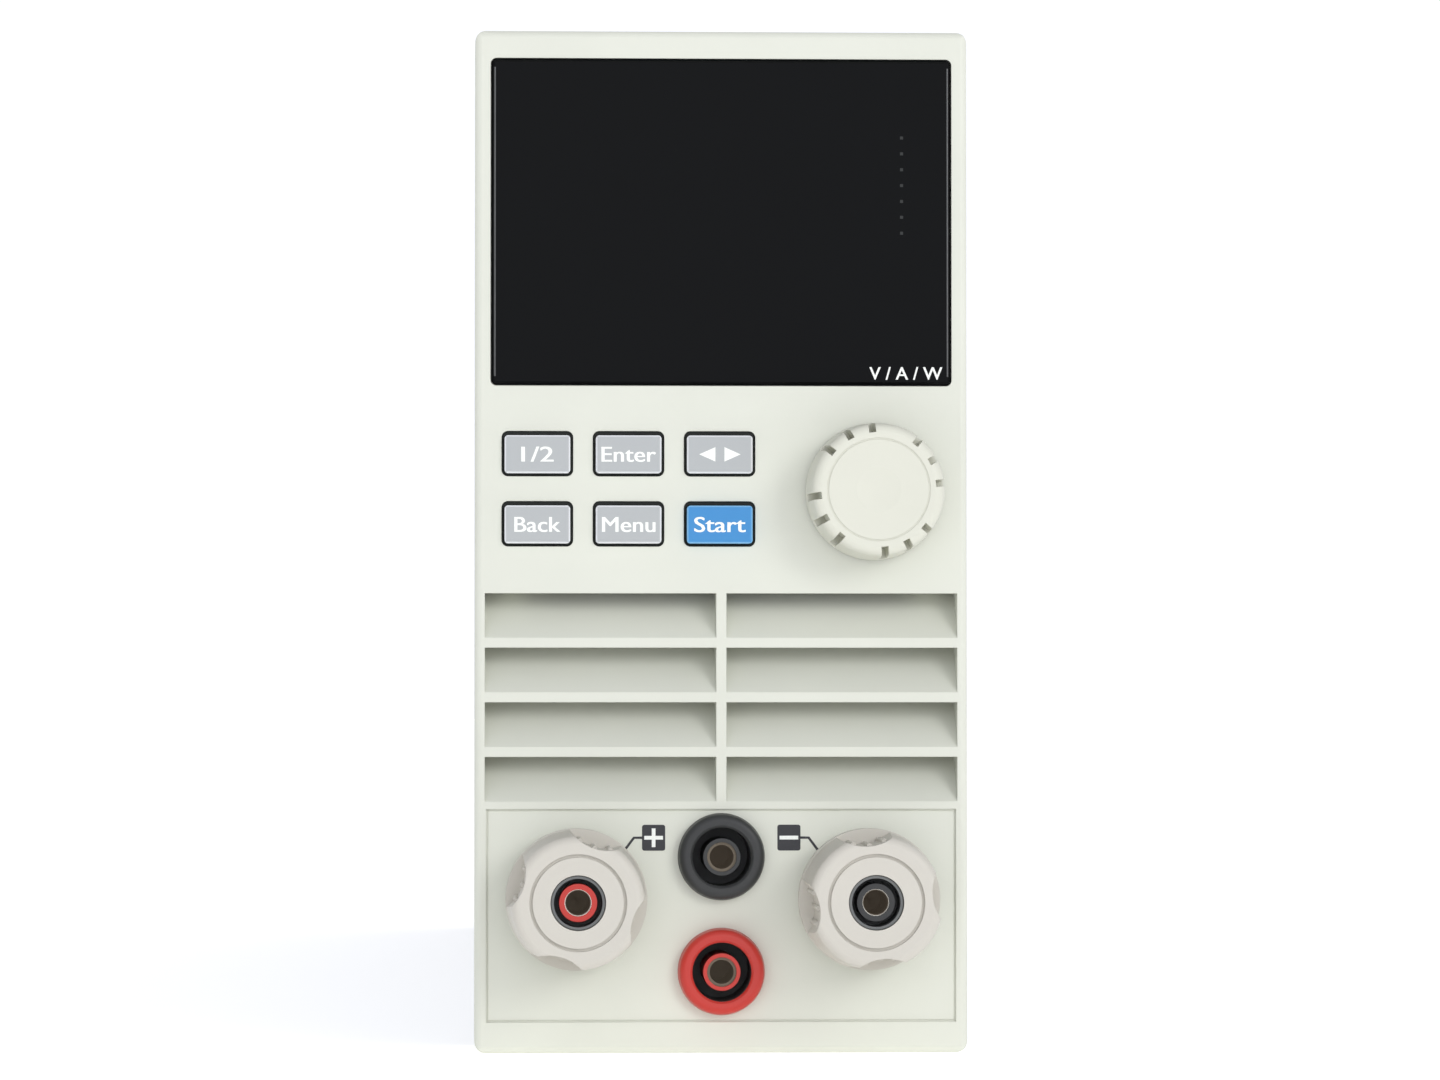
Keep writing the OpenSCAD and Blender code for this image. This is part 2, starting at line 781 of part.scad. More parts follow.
// Encoder shaft, with a flat inside the dial
module encoder_shaft() {
    tip_y = dial_front_y + dial_cap_t + shaft_tip_gap;
    color(nickel) translate([dial_x, 0, dial_z]) difference() {
        rod_y(shaft_d, tip_y, board_y - encoder_floor_t - shaft_end_gap);
        span([-shaft_d, tip_y - over, shaft_d / 2 - shaft_flat], [shaft_d, -dial_gap, shaft_d]);
    }
}

// Dial with grip notches around its rim
module dial_knob() {
    bore_end_y = dial_front_y + dial_cap_t + dial_web_t;
    color(ivory) translate([dial_x, 0, dial_z]) difference() {
        spin_y() polygon(concat([[0, -dial_gap], [dial_d / 2, -dial_gap],
                [dial_d / 2, -dial_gap - dial_skirt_h / 4]],
            [for (a = [0 : 15 : 90]) [dial_front_d / 2 - dial_round * (1 - cos(a)),
                dial_front_y + dial_round * (1 - sin(a))]],
            [[0, dial_front_y]]));
        for (group = [0 : 3], k = [0 : 2]) rotate([0, -notch_step * (4 * group + k) - notch_turn, 0])
            span([dial_front_d / 2 - notch_depth, dial_front_y - over, -notch_w / 2],
                [dial_d, -dial_gap - dial_skirt_h, notch_w / 2]);
        rod_y(dial_recess_d, dial_front_y - over, dial_front_y + dial_cap_t);
        difference() {
            rod_y(shaft_d + 2 * fit_gap / 4, bore_end_y, over);
            span([-shaft_d, bore_end_y - over, shaft_d / 2 - shaft_flat + fit_gap / 4],
                [shaft_d, over, shaft_d]);
        }
        rod_y(bushing_d + 2 * bushing_gap, -dial_gap - dial_skirt_h / 2, over);
    }
}

// Cap inlaid in the dial's front, stepped so that a fine ring shows around it
module dial_cap() {
    color(ivory) translate([dial_x, 0, dial_z]) difference() {
        union() {
            rod_y(dial_cap_d, dial_front_y, dial_front_y + dial_cap_t);
            rod_y(dial_recess_d - 2 * dial_cap_gap, dial_front_y + dial_ring_depth,
                dial_front_y + dial_cap_t);
        }
        translate([0, dial_front_y - dial_dish_r + dial_dish, 0]) sphere(r = dial_dish_r);
    }
}

// Threaded stud of a power terminal, with its plug socket
module post_stud(side) {
    color(nickel) translate([side * post_pitch / 2, 0, post_z]) difference() {
        union() {
            rod_y(stud_d, liner_back_y, busbar_y + busbar_t + nut_t + stud_tail);
            rod_y(neck_d, neck_front_y, liner_back_y + over);
        }
        rod_y(socket_d, neck_front_y - over, neck_front_y + socket_len);
    }
}

// Insulating sleeve around a plug socket, with a lip that covers part of the socket's end
module socket_sleeve(front_y, back_y, cover) {
    difference() {
        rod_y(sleeve_d, front_y, back_y);
        rod_y(neck_d - 2 * cover, front_y - over, back_y + over);
        rod_y(neck_d + fit_gap, front_y + sleeve_lip_t, back_y + over);
    }
}

// Coloured sleeve at the front of a power terminal
module post_sleeve(side, tint) {
    color(tint) translate([side * post_pitch / 2, 0, post_z])
        socket_sleeve(knob_front_y + sleeve_recess, liner_back_y - liner_floor_t, post_lip_cover);
}

// Dark cups that line the front of the terminal knobs
module post_liners() {
    color(black) for (side = [-1, 1]) translate([side * post_pitch / 2, 0, post_z]) difference() {
        rod_y(liner_d, knob_front_y + liner_recess, liner_back_y);
        rod_y(liner_d - 2 * liner_wall, knob_front_y, liner_back_y - liner_floor_t);
        rod_y(neck_d + fit_gap, knob_front_y, liner_back_y + over);
    }
}

// Insulating collars between the plate and the terminal knobs
module post_collars() {
    color(ivory_dark) for (side = [-1, 1]) translate([side * post_pitch / 2, 0, post_z]) difference() {
        union() {
            rod_y(collar_d, collar_front_y, plate_sink);
            rod_y(collar_barrel_d, collar_front_y + over, busbar_y);
        }
        rod_y(stud_d + fit_gap, collar_front_y - over, busbar_y + over);
    }
}

// Hex nuts that clamp the busbars to the studs
module post_nuts() {
    color(nickel) for (side = [-1, 1])
        translate([side * post_pitch / 2, busbar_y + busbar_t, post_z]) difference() {
            rotate([-90, 0, 0]) cylinder(d = nut_w / cos(30), h = nut_t, $fn = 6);
            rod_y(stud_d + fit_gap, -over, nut_t + over);
        }
}

// Copper bar from a terminal to the power board
module busbar(side) {
    half = busbar_w / 2;
    color(copper) on_side(side) difference() {
        union() {
            span([post_pitch / 2 - half, busbar_y, post_z - half],
                [busbar_run_x + busbar_t, busbar_y + busbar_t, post_z + half]);
            span([busbar_run_x, busbar_y, post_z - half],
                [busbar_run_x + busbar_t, riser_y + riser_d, post_z + half]);
            span([busbar_run_x, riser_y, post_z - half],
                [busbar_run_x + busbar_t, riser_y + riser_d, board_z]);
        }
        translate([post_pitch / 2, 0, post_z])
            rod_y(stud_d + 2 * fit_gap, busbar_y - over, busbar_y + busbar_t + over);
    }
}

// Clamping washer that travels with a terminal knob
module post_washer(side) {
    color(nickel) translate([side * post_pitch / 2, 0, post_z])
        tube_y(washer_d, stud_d + 2 * turn_gap, washer_front_y, collar_front_y);
}

// Fluted terminal knob
module post_knob(side) {
    turn = post_rest_turn[side < 0 ? 0 : 1];
    shoulder_y = knob_back_y - post_flange_t;
    body_r = post_knob_d / 2 - knob_step;
    front_r = body_r - knob_taper;
    color(ivory) translate([side * post_pitch / 2, 0, post_z]) rotate([0, -turn, 0]) difference() {
        spin_y() polygon(concat([[0, knob_back_y], [post_knob_d / 2 - knob_edge, knob_back_y],
                [post_knob_d / 2, knob_back_y - knob_edge], [post_knob_d / 2, shoulder_y],
                [body_r, shoulder_y - knob_step]],
            [for (a = [0 : 15 : 90]) [front_r - knob_round * (1 - cos(a)),
                knob_front_y + knob_round * (1 - sin(a))]],
            [[0, knob_front_y]]));
        for (i = [0 : flute_count - 1]) rotate([0, i * 360 / flute_count, 0])
            finger_flute(shoulder_y, body_r);
        rod_y(stud_d + 2 * turn_gap, knob_front_y - over, knob_back_y + over);
        rod_y(liner_d + 2 * turn_gap, knob_front_y - over, knob_back_y - post_thread_len);
        tube_y(post_groove_d, post_groove_d - 2 * groove_w, knob_front_y - over,
            knob_front_y + groove_depth);
    }
}

// Cutter for one finger flute, which leaves three fine ribs on the flute's floor
module finger_flute(shoulder_y, body_r) {
    centre = body_r + flute_r - flute_depth;
    difference() {
        translate([centre, 0, 0]) rod_y(2 * flute_r, knob_front_y - over, shoulder_y);
        for (a = flute_rib_angle * [-1, 0, 1])
            translate([centre - flute_r * cos(a), 0, flute_r * sin(a)])
                rod_y(flute_rib_d, knob_front_y + flute_rib_setback, shoulder_y + over);
    }
}

// Dark barrels of the sense sockets, each with an open round cavity
module jack_barrels() {
    front_y = jack_front_y + jack_lip_t;
    color(black) for (z = jack_places) translate([0, 0, z]) difference() {
        rod_y(jack_barrel_d, front_y, jack_barrel_len);
        rod_y(jack_cavity_d, front_y - over, front_y + jack_cavity_len);
        rod_y(neck_d + fit_gap, front_y - over, jack_barrel_len + over);
    }
}

// Coloured ring in front of a sense socket
module jack_ring(z, tint) {
    round_r = 1.1;
    lead_in = 0.35;
    taper = 0.2;
    outer = jack_ring_d / 2;
    color(tint) translate([0, 0, z]) difference() {
        spin_y() polygon(concat([[0, plate_sink], [outer, plate_sink]],
            [for (a = [0 : 15 : 90]) [outer - taper - round_r * (1 - cos(a)),
                jack_front_y + round_r * (1 - sin(a))]],
            [[jack_cavity_d / 2 + lead_in, jack_front_y],
                [jack_cavity_d / 2, jack_front_y + lead_in], [0, jack_front_y + lead_in]]));
        rod_y(jack_cavity_d, jack_front_y - over, plate_sink + over);
        rod_y(jack_barrel_d + fit_gap, jack_front_y + jack_lip_t, plate_sink + over);
    }
}

// Coloured sleeve in the middle of a sense socket
module jack_sleeve(z, tint) {
    color(tint) translate([0, 0, z]) socket_sleeve(jack_front_y + jack_sleeve_recess,
        jack_front_y + jack_lip_t + jack_cavity_len, jack_lip_cover);
}

// Plug contacts of the sense sockets, with a solder pin behind
module jack_contacts() {
    front_y = jack_front_y + jack_sleeve_recess + sleeve_lip_t + fit_gap;
    color(nickel) for (z = jack_places) translate([0, 0, z]) difference() {
        union() {
            rod_y(neck_d, front_y, jack_barrel_len);
            rod_y(jack_tail_d, jack_barrel_len - over, jack_barrel_len + jack_contact_tail);
        }
        rod_y(socket_d, front_y - over, front_y + socket_len);
    }
}

// Ring nuts behind the terminal plate
module jack_nuts() {
    color(black) for (z = jack_places) translate([0, 0, z])
        tube_y(jack_nut_d, jack_barrel_d + fit_gap, plate_back_y, plate_back_y + jack_nut_t);
}

// Sheet-metal bulkhead that joins the front panel to the case
module front_bulkhead() {
    air_gap = 1;
    air_w = sink_w + 2 * air_gap;
    web = 3.5;
    color(steel) difference() {
        union() {
            span([-case_w / 2, bulkhead_y, wall_t + fit_gap],
                [case_w / 2, panel_d, panel_h - wall_t - fit_gap]);
            both_sides() side_tabs(bulkhead_y, panel_d + end_flange_d);
        }
        span([-air_w / 2, bulkhead_y - over, sink_z], [air_w / 2, panel_d + over, sink_top_z]);
        span([-busbar_run_x - web, bulkhead_y - over, plate_z + web],
            [busbar_run_x + web, panel_d + over, plate_z + plate_h - web]);
        span([-case_w / 2 + 3 * web, bulkhead_y - over, board_top_z + web],
            [case_w / 2 - 3 * web, panel_d + over, case_top - flange_h]);
        at_each(boss_places) rod_y(screw_d + 2 * fit_gap, bulkhead_y - over, panel_d + over);
        both_sides() side_holes(end_screws, screw_d + fit_gap);
    }
}

// Screws that hold the bulkhead to the front panel's bosses
module bezel_screws() {
    head_t = 2;
    color(nickel) at_each(boss_places) {
        rod_y(boss_pilot_d - fit_gap, bulkhead_y - boss_pilot_len + over, panel_d + over / 2);
        difference() {
            rod_y(screw_head_d, panel_d, panel_d + head_t);
            drive_slots([0, panel_d + head_t, 0], [90, 0, 0]);
        }
    }
}

// Cross-shaped driving slots, sunk along the direction that turn sets
module drive_slots(place, turn) {
    translate(place) rotate(turn) for (a = [0, 90]) rotate([0, 0, a])
        cube([screw_slot_len, screw_slot_w, 2 * screw_slot_depth], center = true);
}

// Holes along x through a right-hand flange or panel, at places counted from the case's front
module side_holes(places, d) {
    for (p = places) translate([case_w / 2 - 2 * sheet_t, panel_d + p[0], p[1]])
        rotate([0, 90, 0]) cylinder(d = d, h = 2 * sheet_t + 2 * side_t);
}

// Tabs turned along the right-hand side, between two levels
module side_tabs(from, to) {
    for (tab = end_tabs)
        span([case_w / 2 - sheet_t, from, tab[0]], [case_w / 2, to, tab[1]]);
}

// Sheet with a flange bent up along both sides and a lip that reaches under the rear panel
module folded_sheet() {
    fold_len = rear_inner_y - fit_gap - panel_d;
    translate([0, panel_d, 0]) front_extrude(fold_len) difference() {
        translate([0, flange_z]) rounded_rect(case_w, 2 * flange_z, bend_r);
        translate([0, flange_z + sheet_t])
            rounded_rect(case_w - 2 * sheet_t, 2 * flange_z, bend_r - sheet_t);
        translate([-case_w / 2 - over, flange_z]) square([case_w + 2 * over, 2 * flange_z]);
    }
    span([bend_r - case_w / 2, rear_inner_y - over, 0], [case_w / 2 - bend_r, body_d, sheet_t]);
}

// Flanged tray that the module stands on
module base_pan() {
    color(steel) difference() {
        folded_sheet();
        both_sides() side_holes(edge_screws, screw_d + fit_gap);
    }
}

// Flanged top sheet
module top_cover() {
    color(steel) difference() {
        translate([0, 0, case_top]) mirror([0, 0, 1]) folded_sheet();
        both_sides() side_holes(edge_screws, screw_d + fit_gap);
    }
}

// Countersunk side panel
module side_panel(side) {
    color(steel) on_side(side) difference() {
        span([case_w / 2, panel_d, side_gap], [case_w / 2 + side_t, body_d, case_top - side_gap]);
        for (p = side_screws) translate([case_w / 2, panel_d + p[0], p[1]]) rotate([0, 90, 0]) {
            translate([0, 0, -over]) cylinder(d = screw_d + fit_gap, h = side_t + 2 * over);
            cylinder(d1 = screw_d + fit_gap, d2 = screw_head_d + fit_gap, h = side_t);
            translate([0, 0, side_t]) cylinder(d = screw_head_d + fit_gap, h = over);
        }
    }
}

// Countersunk screws through the side panels
module case_screws() {
    head_sink = 0.05;
    color(nickel) both_sides() for (p = side_screws)
        translate([case_w / 2, panel_d + p[0], p[1]]) rotate([0, 90, 0]) difference() {
            union() {
                translate([0, 0, -screw_len]) cylinder(d = screw_d - fit_gap, h = screw_len + side_t / 2);
                cylinder(d1 = screw_d - fit_gap, d2 = screw_head_d - fit_gap, h = side_t - head_sink);
            }
            drive_slots([0, 0, side_t], [0, 0, 45]);
        }
}

// Rear panel with the fan opening, connector opening and fixing holes
module rear_panel() {
    color(steel) difference() {
        union() {
            span([-case_w / 2, rear_inner_y, sheet_t], [case_w / 2, body_d, case_top - sheet_t]);
            both_sides() side_tabs(rear_inner_y - end_flange_d, body_d);
        }
        translate([0, 0, fan_z]) rod_y(fan_size - 2 * fan_wall, rear_inner_y - over, body_d + over);
        fan_corners() rod_y(fan_screw_d + 2 * fit_gap, rear_inner_y - over, body_d + over);
        translate([0, rear_inner_y - over, connector_z]) front_extrude(sheet_t + 2 * over)
            square([connector_w + 2 * fit_gap, connector_h + 2 * fit_gap], center = true);
        for (side = [-1, 1]) translate([side * pin_x, 0, connector_z])
            rod_y(pin_d + fit_gap, rear_inner_y - over, body_d + over);
        for (z = [fix_z, fix_z + fix_pitch]) translate([0, 0, z])
            rod_y(fix_d, rear_inner_y - over, body_d + over);
        both_sides() side_holes(end_screws, screw_d + fit_gap);
    }
}

// The fan's four corner holes
module fan_corners() {
    half = fan_hole_pitch / 2;
    for (sx = [-1, 1], sz = [-1, 1]) translate([sx * half, 0, fan_z + sz * half]) children();
}

// Clinch nuts behind the rear fixing holes
module clinch_nuts() {
    color(nickel) for (z = [fix_z, fix_z + fix_pitch]) translate([0, 0, z])
        tube_y(clinch_d, fix_d, rear_inner_y - clinch_t, rear_inner_y);
}

// Finned heat sink on one side of the air tunnel
module heatsink(side) {
    color(aluminium) on_side(side) {
        span([sink_w / 2 - sink_base_t, sink_y, sink_z],
            [sink_w / 2, sink_y + sink_len, sink_top_z]);
        for (i = [0 : fin_count - 1]) let (z = sink_z + fin_start + i * fin_pitch)
            span([sink_tip_gap, sink_y, z],
                [sink_w / 2 - sink_base_t / 2, sink_y + sink_len, z + fin_t]);
    }
}

// Standoffs between the heat sinks and the side panels
module heatsink_standoffs() {
    color(nickel) both_sides() for (p = sink_screws)
        translate([sink_w / 2, panel_d + p[0], p[1]]) rotate([0, 90, 0]) difference() {
            cylinder(d = standoff_d, h = standoff_len);
            cylinder(d = screw_d + fit_gap, h = case_w / 2);
        }
}

// Row of power transistors on the outer face of each heat sink
module power_transistors() {
    step = (sink_len - 2 * device_w) / device_count;
    color(black) both_sides() for (i = [0 : device_count - 1])
        translate([sink_w / 2, sink_y + device_w / 2 + step * (i + 0.5), device_z]) {
            translate([0, 0, -device_h / 2]) cube([device_t, device_w, device_h]);
            for (k = [-1, 0, 1]) translate([device_t / 2,
                    device_w / 2 + k * device_lead_pitch - device_lead_w / 2, device_h / 2 - over])
                cube([device_lead_t, device_lead_w, board_z - device_z - device_h / 2 + over]);
        }
}

// Power board that lies over the air tunnel
module power_board() {
    half = case_w / 2 - board_edge_gap;
    color(board_green) span([-half, board_front_y, board_z], [half, board_rear_y, board_top_z]);
}

// Spacers between the heat sinks and the power board
module board_spacers() {
    color(nickel) both_sides() for (y = standoff_y)
        translate([spacer_x, sink_y + y, sink_top_z]) cylinder(d = spacer_d, h = board_lift);
}

// Electrolytic capacitors on the power board
module capacitors() {
    bead = 1;
    color(can_blue) for (s = [-1, 1], i = [0 : can_rows - 1])
        translate([s * can_pitch / 2, can_y + i * can_pitch, board_top_z]) rotate_extrude()
            polygon([[0, 0], [can_d / 2, 0], [can_d / 2, 2 * bead], [can_d / 2 - bead / 2, 3 * bead],
                [can_d / 2, 4 * bead], [can_d / 2, can_h - bead], [can_d / 2 - bead, can_h], [0, can_h]]);
}

// Flat cable between the control board and the power board
module ribbon_cable() {
    color("#8f9296") {
        span([cable_x, board_y + board_t, cable_z], [cable_x + cable_w, cable_rear_y, cable_z + cable_t]);
        span([cable_x, cable_rear_y - cable_t, board_top_z],
            [cable_x + cable_w, cable_rear_y, cable_z + cable_t]);
    }
}

// Fan frame with its round duct, hub plate and struts
module fan_frame() {
    front_y = rear_inner_y - fan_depth;
    plate_y = rear_inner_y - fan_hub_t;
    duct_d = fan_size - 2 * fan_wall;
    color(black) difference() {
        union() {
            difference() {
                translate([0, front_y, fan_z]) front_extrude(fan_depth)
                    rounded_rect(fan_size, fan_size, fan_corner_r);
                translate([0, 0, fan_z]) rod_y(duct_d, front_y - over, rear_inner_y + over);
            }
            translate([0, 0, fan_z]) {
                rod_y(fan_hub_d, plate_y, rear_inner_y);
                for (a = [0, 90]) rotate([0, a + fan_strut_turn, 0])
                    span([-duct_d / 2 - fan_wall / 2, plate_y, -fan_strut_w / 2],
                        [duct_d / 2 + fan_wall / 2, rear_inner_y, fan_strut_w / 2]);
            }
        }
        fan_corners() rod_y(fan_hole_d, front_y - over, rear_inner_y + over);
        translate([0, 0, fan_z]) rod_y(fan_shaft_d + 2 * running_gap, plate_y - over, rear_inner_y - over);
    }
}

// Fan impeller: hub, shaft and curved blades
module fan_impeller() {
    front_y = rear_inner_y - fan_depth + fan_axial_gap;
    back_y = rear_inner_y - fan_hub_t - fan_axial_gap;
    tip_d = fan_size - 2 * fan_wall - 2 * fan_tip_gap;
    middle_y = (front_y + back_y) / 2;
    blade_d = back_y - front_y;
    color(dark_grey) translate([0, 0, fan_z]) {
        rod_y(fan_hub_d, front_y, back_y);
        rod_y(fan_shaft_d, back_y - over, rear_inner_y - fan_shaft_seat);
        for (i = [0 : fan_blades - 1]) rotate([0, i * 360 / fan_blades, 0]) intersection() {
            tube_y(tip_d, fan_hub_d - over, front_y, back_y);
            translate([-fan_blade_offset, middle_y - fan_blade_lead, 0]) difference() {
                cylinder(r = fan_blade_r, h = tip_d);
                translate([0, 0, -over]) cylinder(r = fan_blade_r - fan_blade_t, h = tip_d + 2 * over);
            }
            span([-blade_d, front_y, 0], [blade_d, back_y, tip_d]);
        }
    }
}

// Flat finger guard over the fan opening
module fan_guard() {
    top_y = body_d + guard_t;
    lug_r = fan_hole_pitch / sqrt(2);
    color(dark_grey) translate([0, 0, fan_z]) difference() {
        union() {
            rod_y(guard_disc_d, body_d, top_y);
            for (i = [1 : guard_rings]) let (r = guard_disc_d / 2 + i * guard_pitch - guard_ring_w)
                tube_y(2 * r + guard_ring_w, 2 * r - guard_ring_w, body_d, top_y);
            for (a = [45, 135]) rotate([0, a, 0])
                span([-lug_r, body_d, -guard_bar_w / 2], [lug_r, top_y, guard_bar_w / 2]);
            for (a = [45 : 90 : 315]) rotate([0, a, 0]) translate([lug_r, 0, 0])
                rod_y(guard_lug_d, body_d, top_y);
        }
        for (a = [45 : 90 : 315]) rotate([0, a, 0]) translate([lug_r, 0, 0])
            rod_y(fan_screw_d + 2 * fit_gap, body_d - over, top_y + over);
    }
}

// Screws that hold the guard and fan to the rear panel
module fan_screws() {
    seat_y = body_d + guard_t;
    color(nickel) fan_corners() {
        rod_y(fan_screw_d, seat_y - fan_screw_len, seat_y + over / 2);
        difference() {
            rod_y(fan_screw_head_d, seat_y, seat_y + fan_screw_head_t);
            drive_slots([0, seat_y + fan_screw_head_t, 0], [90, 0, 0]);
        }
    }
}

// Blind-mating connector at the rear edge of the power board
module backplane_connector() {
    color(black) translate([0, 0, connector_z]) {
        translate([0, body_d + connector_flange_t - connector_d, 0]) front_extrude(connector_d)
            square([connector_w, connector_h], center = true);
        translate([0, body_d, 0]) front_extrude(tongue_len)
            square([tongue_w, tongue_h], center = true);
    }
}

// Guide pins that line the module up with the frame it slides into
module guide_pins() {
    tip_y = body_d + pin_len;
    color(nickel) for (side = [-1, 1]) translate([side * pin_x, 0, connector_z]) {
        rod_y(pin_d, rear_inner_y - pin_tail, tip_y - pin_tip_len);
        translate([0, tip_y - pin_tip_len, 0]) rotate([-90, 0, 0])
            cylinder(d1 = pin_d, d2 = pin_tip_d, h = pin_tip_len);
        rod_y(pin_collar_d, body_d, body_d + pin_collar_t);
        rod_y(pin_collar_d, rear_inner_y - pin_tail, rear_inner_y);
    }
}

placed() front_bezel();
placed() terminal_plate();
placed() display_window();
placed() display_panel();
placed() control_board();
placed() key_frame();
placed() keypad_mat();
placed() encoder_body();
placed() post_stud(-1);  // post_stud_positive
placed() post_stud(1);  // post_stud_negative
placed() post_sleeve(-1, red);  // post_sleeve_positive
placed() post_sleeve(1, dark_grey);  // post_sleeve_negative
placed() post_liners();
placed() post_collars();
placed() post_nuts();
placed() busbar(-1);  // busbar_positive
placed() busbar(1);  // busbar_negative
placed() jack_barrels();
placed() jack_ring(jack_places[1], dark_grey);  // jack_ring_black
placed() jack_ring(jack_places[0], red);  // jack_ring_red
placed() jack_sleeve(jack_places[1], dark_grey);  // jack_sleeve_black
placed() jack_sleeve(jack_places[0], red);  // jack_sleeve_red
placed() jack_contacts();
placed() jack_nuts();
placed() front_bulkhead();
placed() bezel_screws();
placed() base_pan();
placed() top_cover();
placed() side_panel(-1);  // left_side_panel
placed() side_panel(1);  // right_side_panel
placed() rear_panel();
placed() case_screws();
placed() heatsink(-1);  // heatsink_left
placed() heatsink(1);  // heatsink_right
placed() heatsink_standoffs();
placed() power_transistors();
placed() power_board();
placed() board_spacers();
placed() capacitors();
placed() ribbon_cable();
placed() fan_frame();
placed() fan_guard();
placed() fan_screws();
placed() fan_impeller();
placed() backplane_connector();
placed() guide_pins();
placed() clinch_nuts();
placed() encoder_shaft();
placed() dial_knob();
placed() dial_cap();
placed() post_washer(-1);  // post_washer_positive
placed() post_knob(-1);  // post_knob_positive
placed() post_washer(1);  // post_washer_negative
placed() post_knob(1);  // post_knob_negative
placed() key_cap(0, 1, key_grey);  // key_select
placed() key_cap(1, 1, key_grey);  // key_short
placed() key_cap(2, 1, key_grey);  // key_arrows
placed() key_cap(0, 0, key_grey);  // key_transient
placed() key_cap(1, 0, key_grey);  // key_mode
placed() key_cap(2, 0, key_blue);  // key_on_off
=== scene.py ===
import json
import math

import bmesh
import bpy
from mathutils import Matrix, Vector


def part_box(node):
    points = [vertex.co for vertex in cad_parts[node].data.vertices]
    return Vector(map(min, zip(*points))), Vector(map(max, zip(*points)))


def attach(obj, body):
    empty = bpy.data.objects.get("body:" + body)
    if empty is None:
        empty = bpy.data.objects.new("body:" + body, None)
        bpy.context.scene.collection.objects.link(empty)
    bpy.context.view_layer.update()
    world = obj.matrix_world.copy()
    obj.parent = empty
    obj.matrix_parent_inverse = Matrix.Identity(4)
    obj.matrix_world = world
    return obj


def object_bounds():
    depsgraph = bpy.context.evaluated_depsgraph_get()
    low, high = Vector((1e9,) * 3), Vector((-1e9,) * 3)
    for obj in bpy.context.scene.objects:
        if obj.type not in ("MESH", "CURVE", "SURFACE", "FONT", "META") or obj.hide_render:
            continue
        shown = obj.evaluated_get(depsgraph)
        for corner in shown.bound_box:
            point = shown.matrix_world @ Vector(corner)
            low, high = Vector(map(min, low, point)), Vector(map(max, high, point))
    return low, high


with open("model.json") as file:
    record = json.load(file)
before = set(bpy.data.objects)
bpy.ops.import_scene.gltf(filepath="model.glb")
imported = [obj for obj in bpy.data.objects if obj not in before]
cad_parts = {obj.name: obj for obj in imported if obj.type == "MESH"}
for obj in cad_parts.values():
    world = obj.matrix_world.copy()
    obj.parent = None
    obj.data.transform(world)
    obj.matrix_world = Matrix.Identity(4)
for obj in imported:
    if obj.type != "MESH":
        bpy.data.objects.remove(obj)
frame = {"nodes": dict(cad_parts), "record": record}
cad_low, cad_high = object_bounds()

MM = 0.001
scene = bpy.context.scene
scene.view_settings.view_transform = "Standard"


# Shader building blocks

def shader(name, roughness=0.5, metallic=0.0, specular=0.5):
    """A new node material: its tree and its Principled shader."""
    mat = bpy.data.materials.new(name)
    mat.use_nodes = True
    tree = mat.node_tree
    bsdf = tree.nodes["Principled BSDF"]
    bsdf.inputs["Roughness"].default_value = roughness
    bsdf.inputs["Metallic"].default_value = metallic
    bsdf.inputs["Specular IOR Level"].default_value = specular
    return mat, tree, bsdf


def object_point(tree, stretch=(1, 1, 1)):
    """Coordinates in metres on the piece itself, so a pattern moves with it."""
    coords = tree.nodes.new("ShaderNodeTexCoord")
    mapping = tree.nodes.new("ShaderNodeMapping")
    mapping.inputs["Scale"].default_value = stretch
    tree.links.new(coords.outputs["Object"], mapping.inputs["Vector"])
    return mapping.outputs["Vector"]


def noise(tree, point, scale, detail=3.0, rough=0.5):
    """Soft noise, with scale in cells per metre."""
    node = tree.nodes.new("ShaderNodeTexNoise")
    node.inputs["Scale"].default_value = scale
    node.inputs["Detail"].default_value = detail
    node.inputs["Roughness"].default_value = rough
    tree.links.new(point, node.inputs["Vector"])
    return node.outputs["Fac"]


def spread(tree, value, low, high, start=0.3, end=0.7):
    """Maps a pattern's middle range onto low to high."""
    node = tree.nodes.new("ShaderNodeMapRange")
    node.inputs["From Min"].default_value = start
    node.inputs["From Max"].default_value = end
    node.inputs["To Min"].default_value = low
    node.inputs["To Max"].default_value = high
    tree.links.new(value, node.inputs["Value"])
    return node.outputs["Result"]


def two_tone(tree, value, first, second, start=0.3, end=0.7):
    """A colour that goes from first to second with a pattern."""
    ramp = tree.nodes.new("ShaderNodeValToRGB")
    ramp.color_ramp.elements[0].position = start
    ramp.color_ramp.elements[1].position = end
    ramp.color_ramp.elements[0].color = (*first, 1)
    ramp.color_ramp.elements[1].color = (*second, 1)
    tree.links.new(value, ramp.inputs["Fac"])
    return ramp.outputs["Color"]


def calc(tree, kind, first, second):
    """The result of one arithmetic step on numbers or patterns."""
    node = tree.nodes.new("ShaderNodeMath")
    node.operation = kind
    for socket, value in zip(node.inputs, (first, second)):
        if isinstance(value, (int, float)):
            socket.default_value = value
        else:
            tree.links.new(value, socket)
    return node.outputs["Value"]


def relief(tree, bsdf, height, depth, strength, edge=0.0):
    """Bump of a given depth in metres, over edges softened by a small radius."""
    bump = tree.nodes.new("ShaderNodeBump")
    bump.inputs["Strength"].default_value = strength
    bump.inputs["Distance"].default_value = depth
    tree.links.new(height, bump.inputs["Height"])
    if edge:
        bevel = tree.nodes.new("ShaderNodeBevel")
        bevel.samples = 6
        bevel.inputs["Radius"].default_value = edge
        tree.links.new(bevel.outputs["Normal"], bump.inputs["Normal"])
    tree.links.new(bump.outputs["Normal"], bsdf.inputs["Normal"])


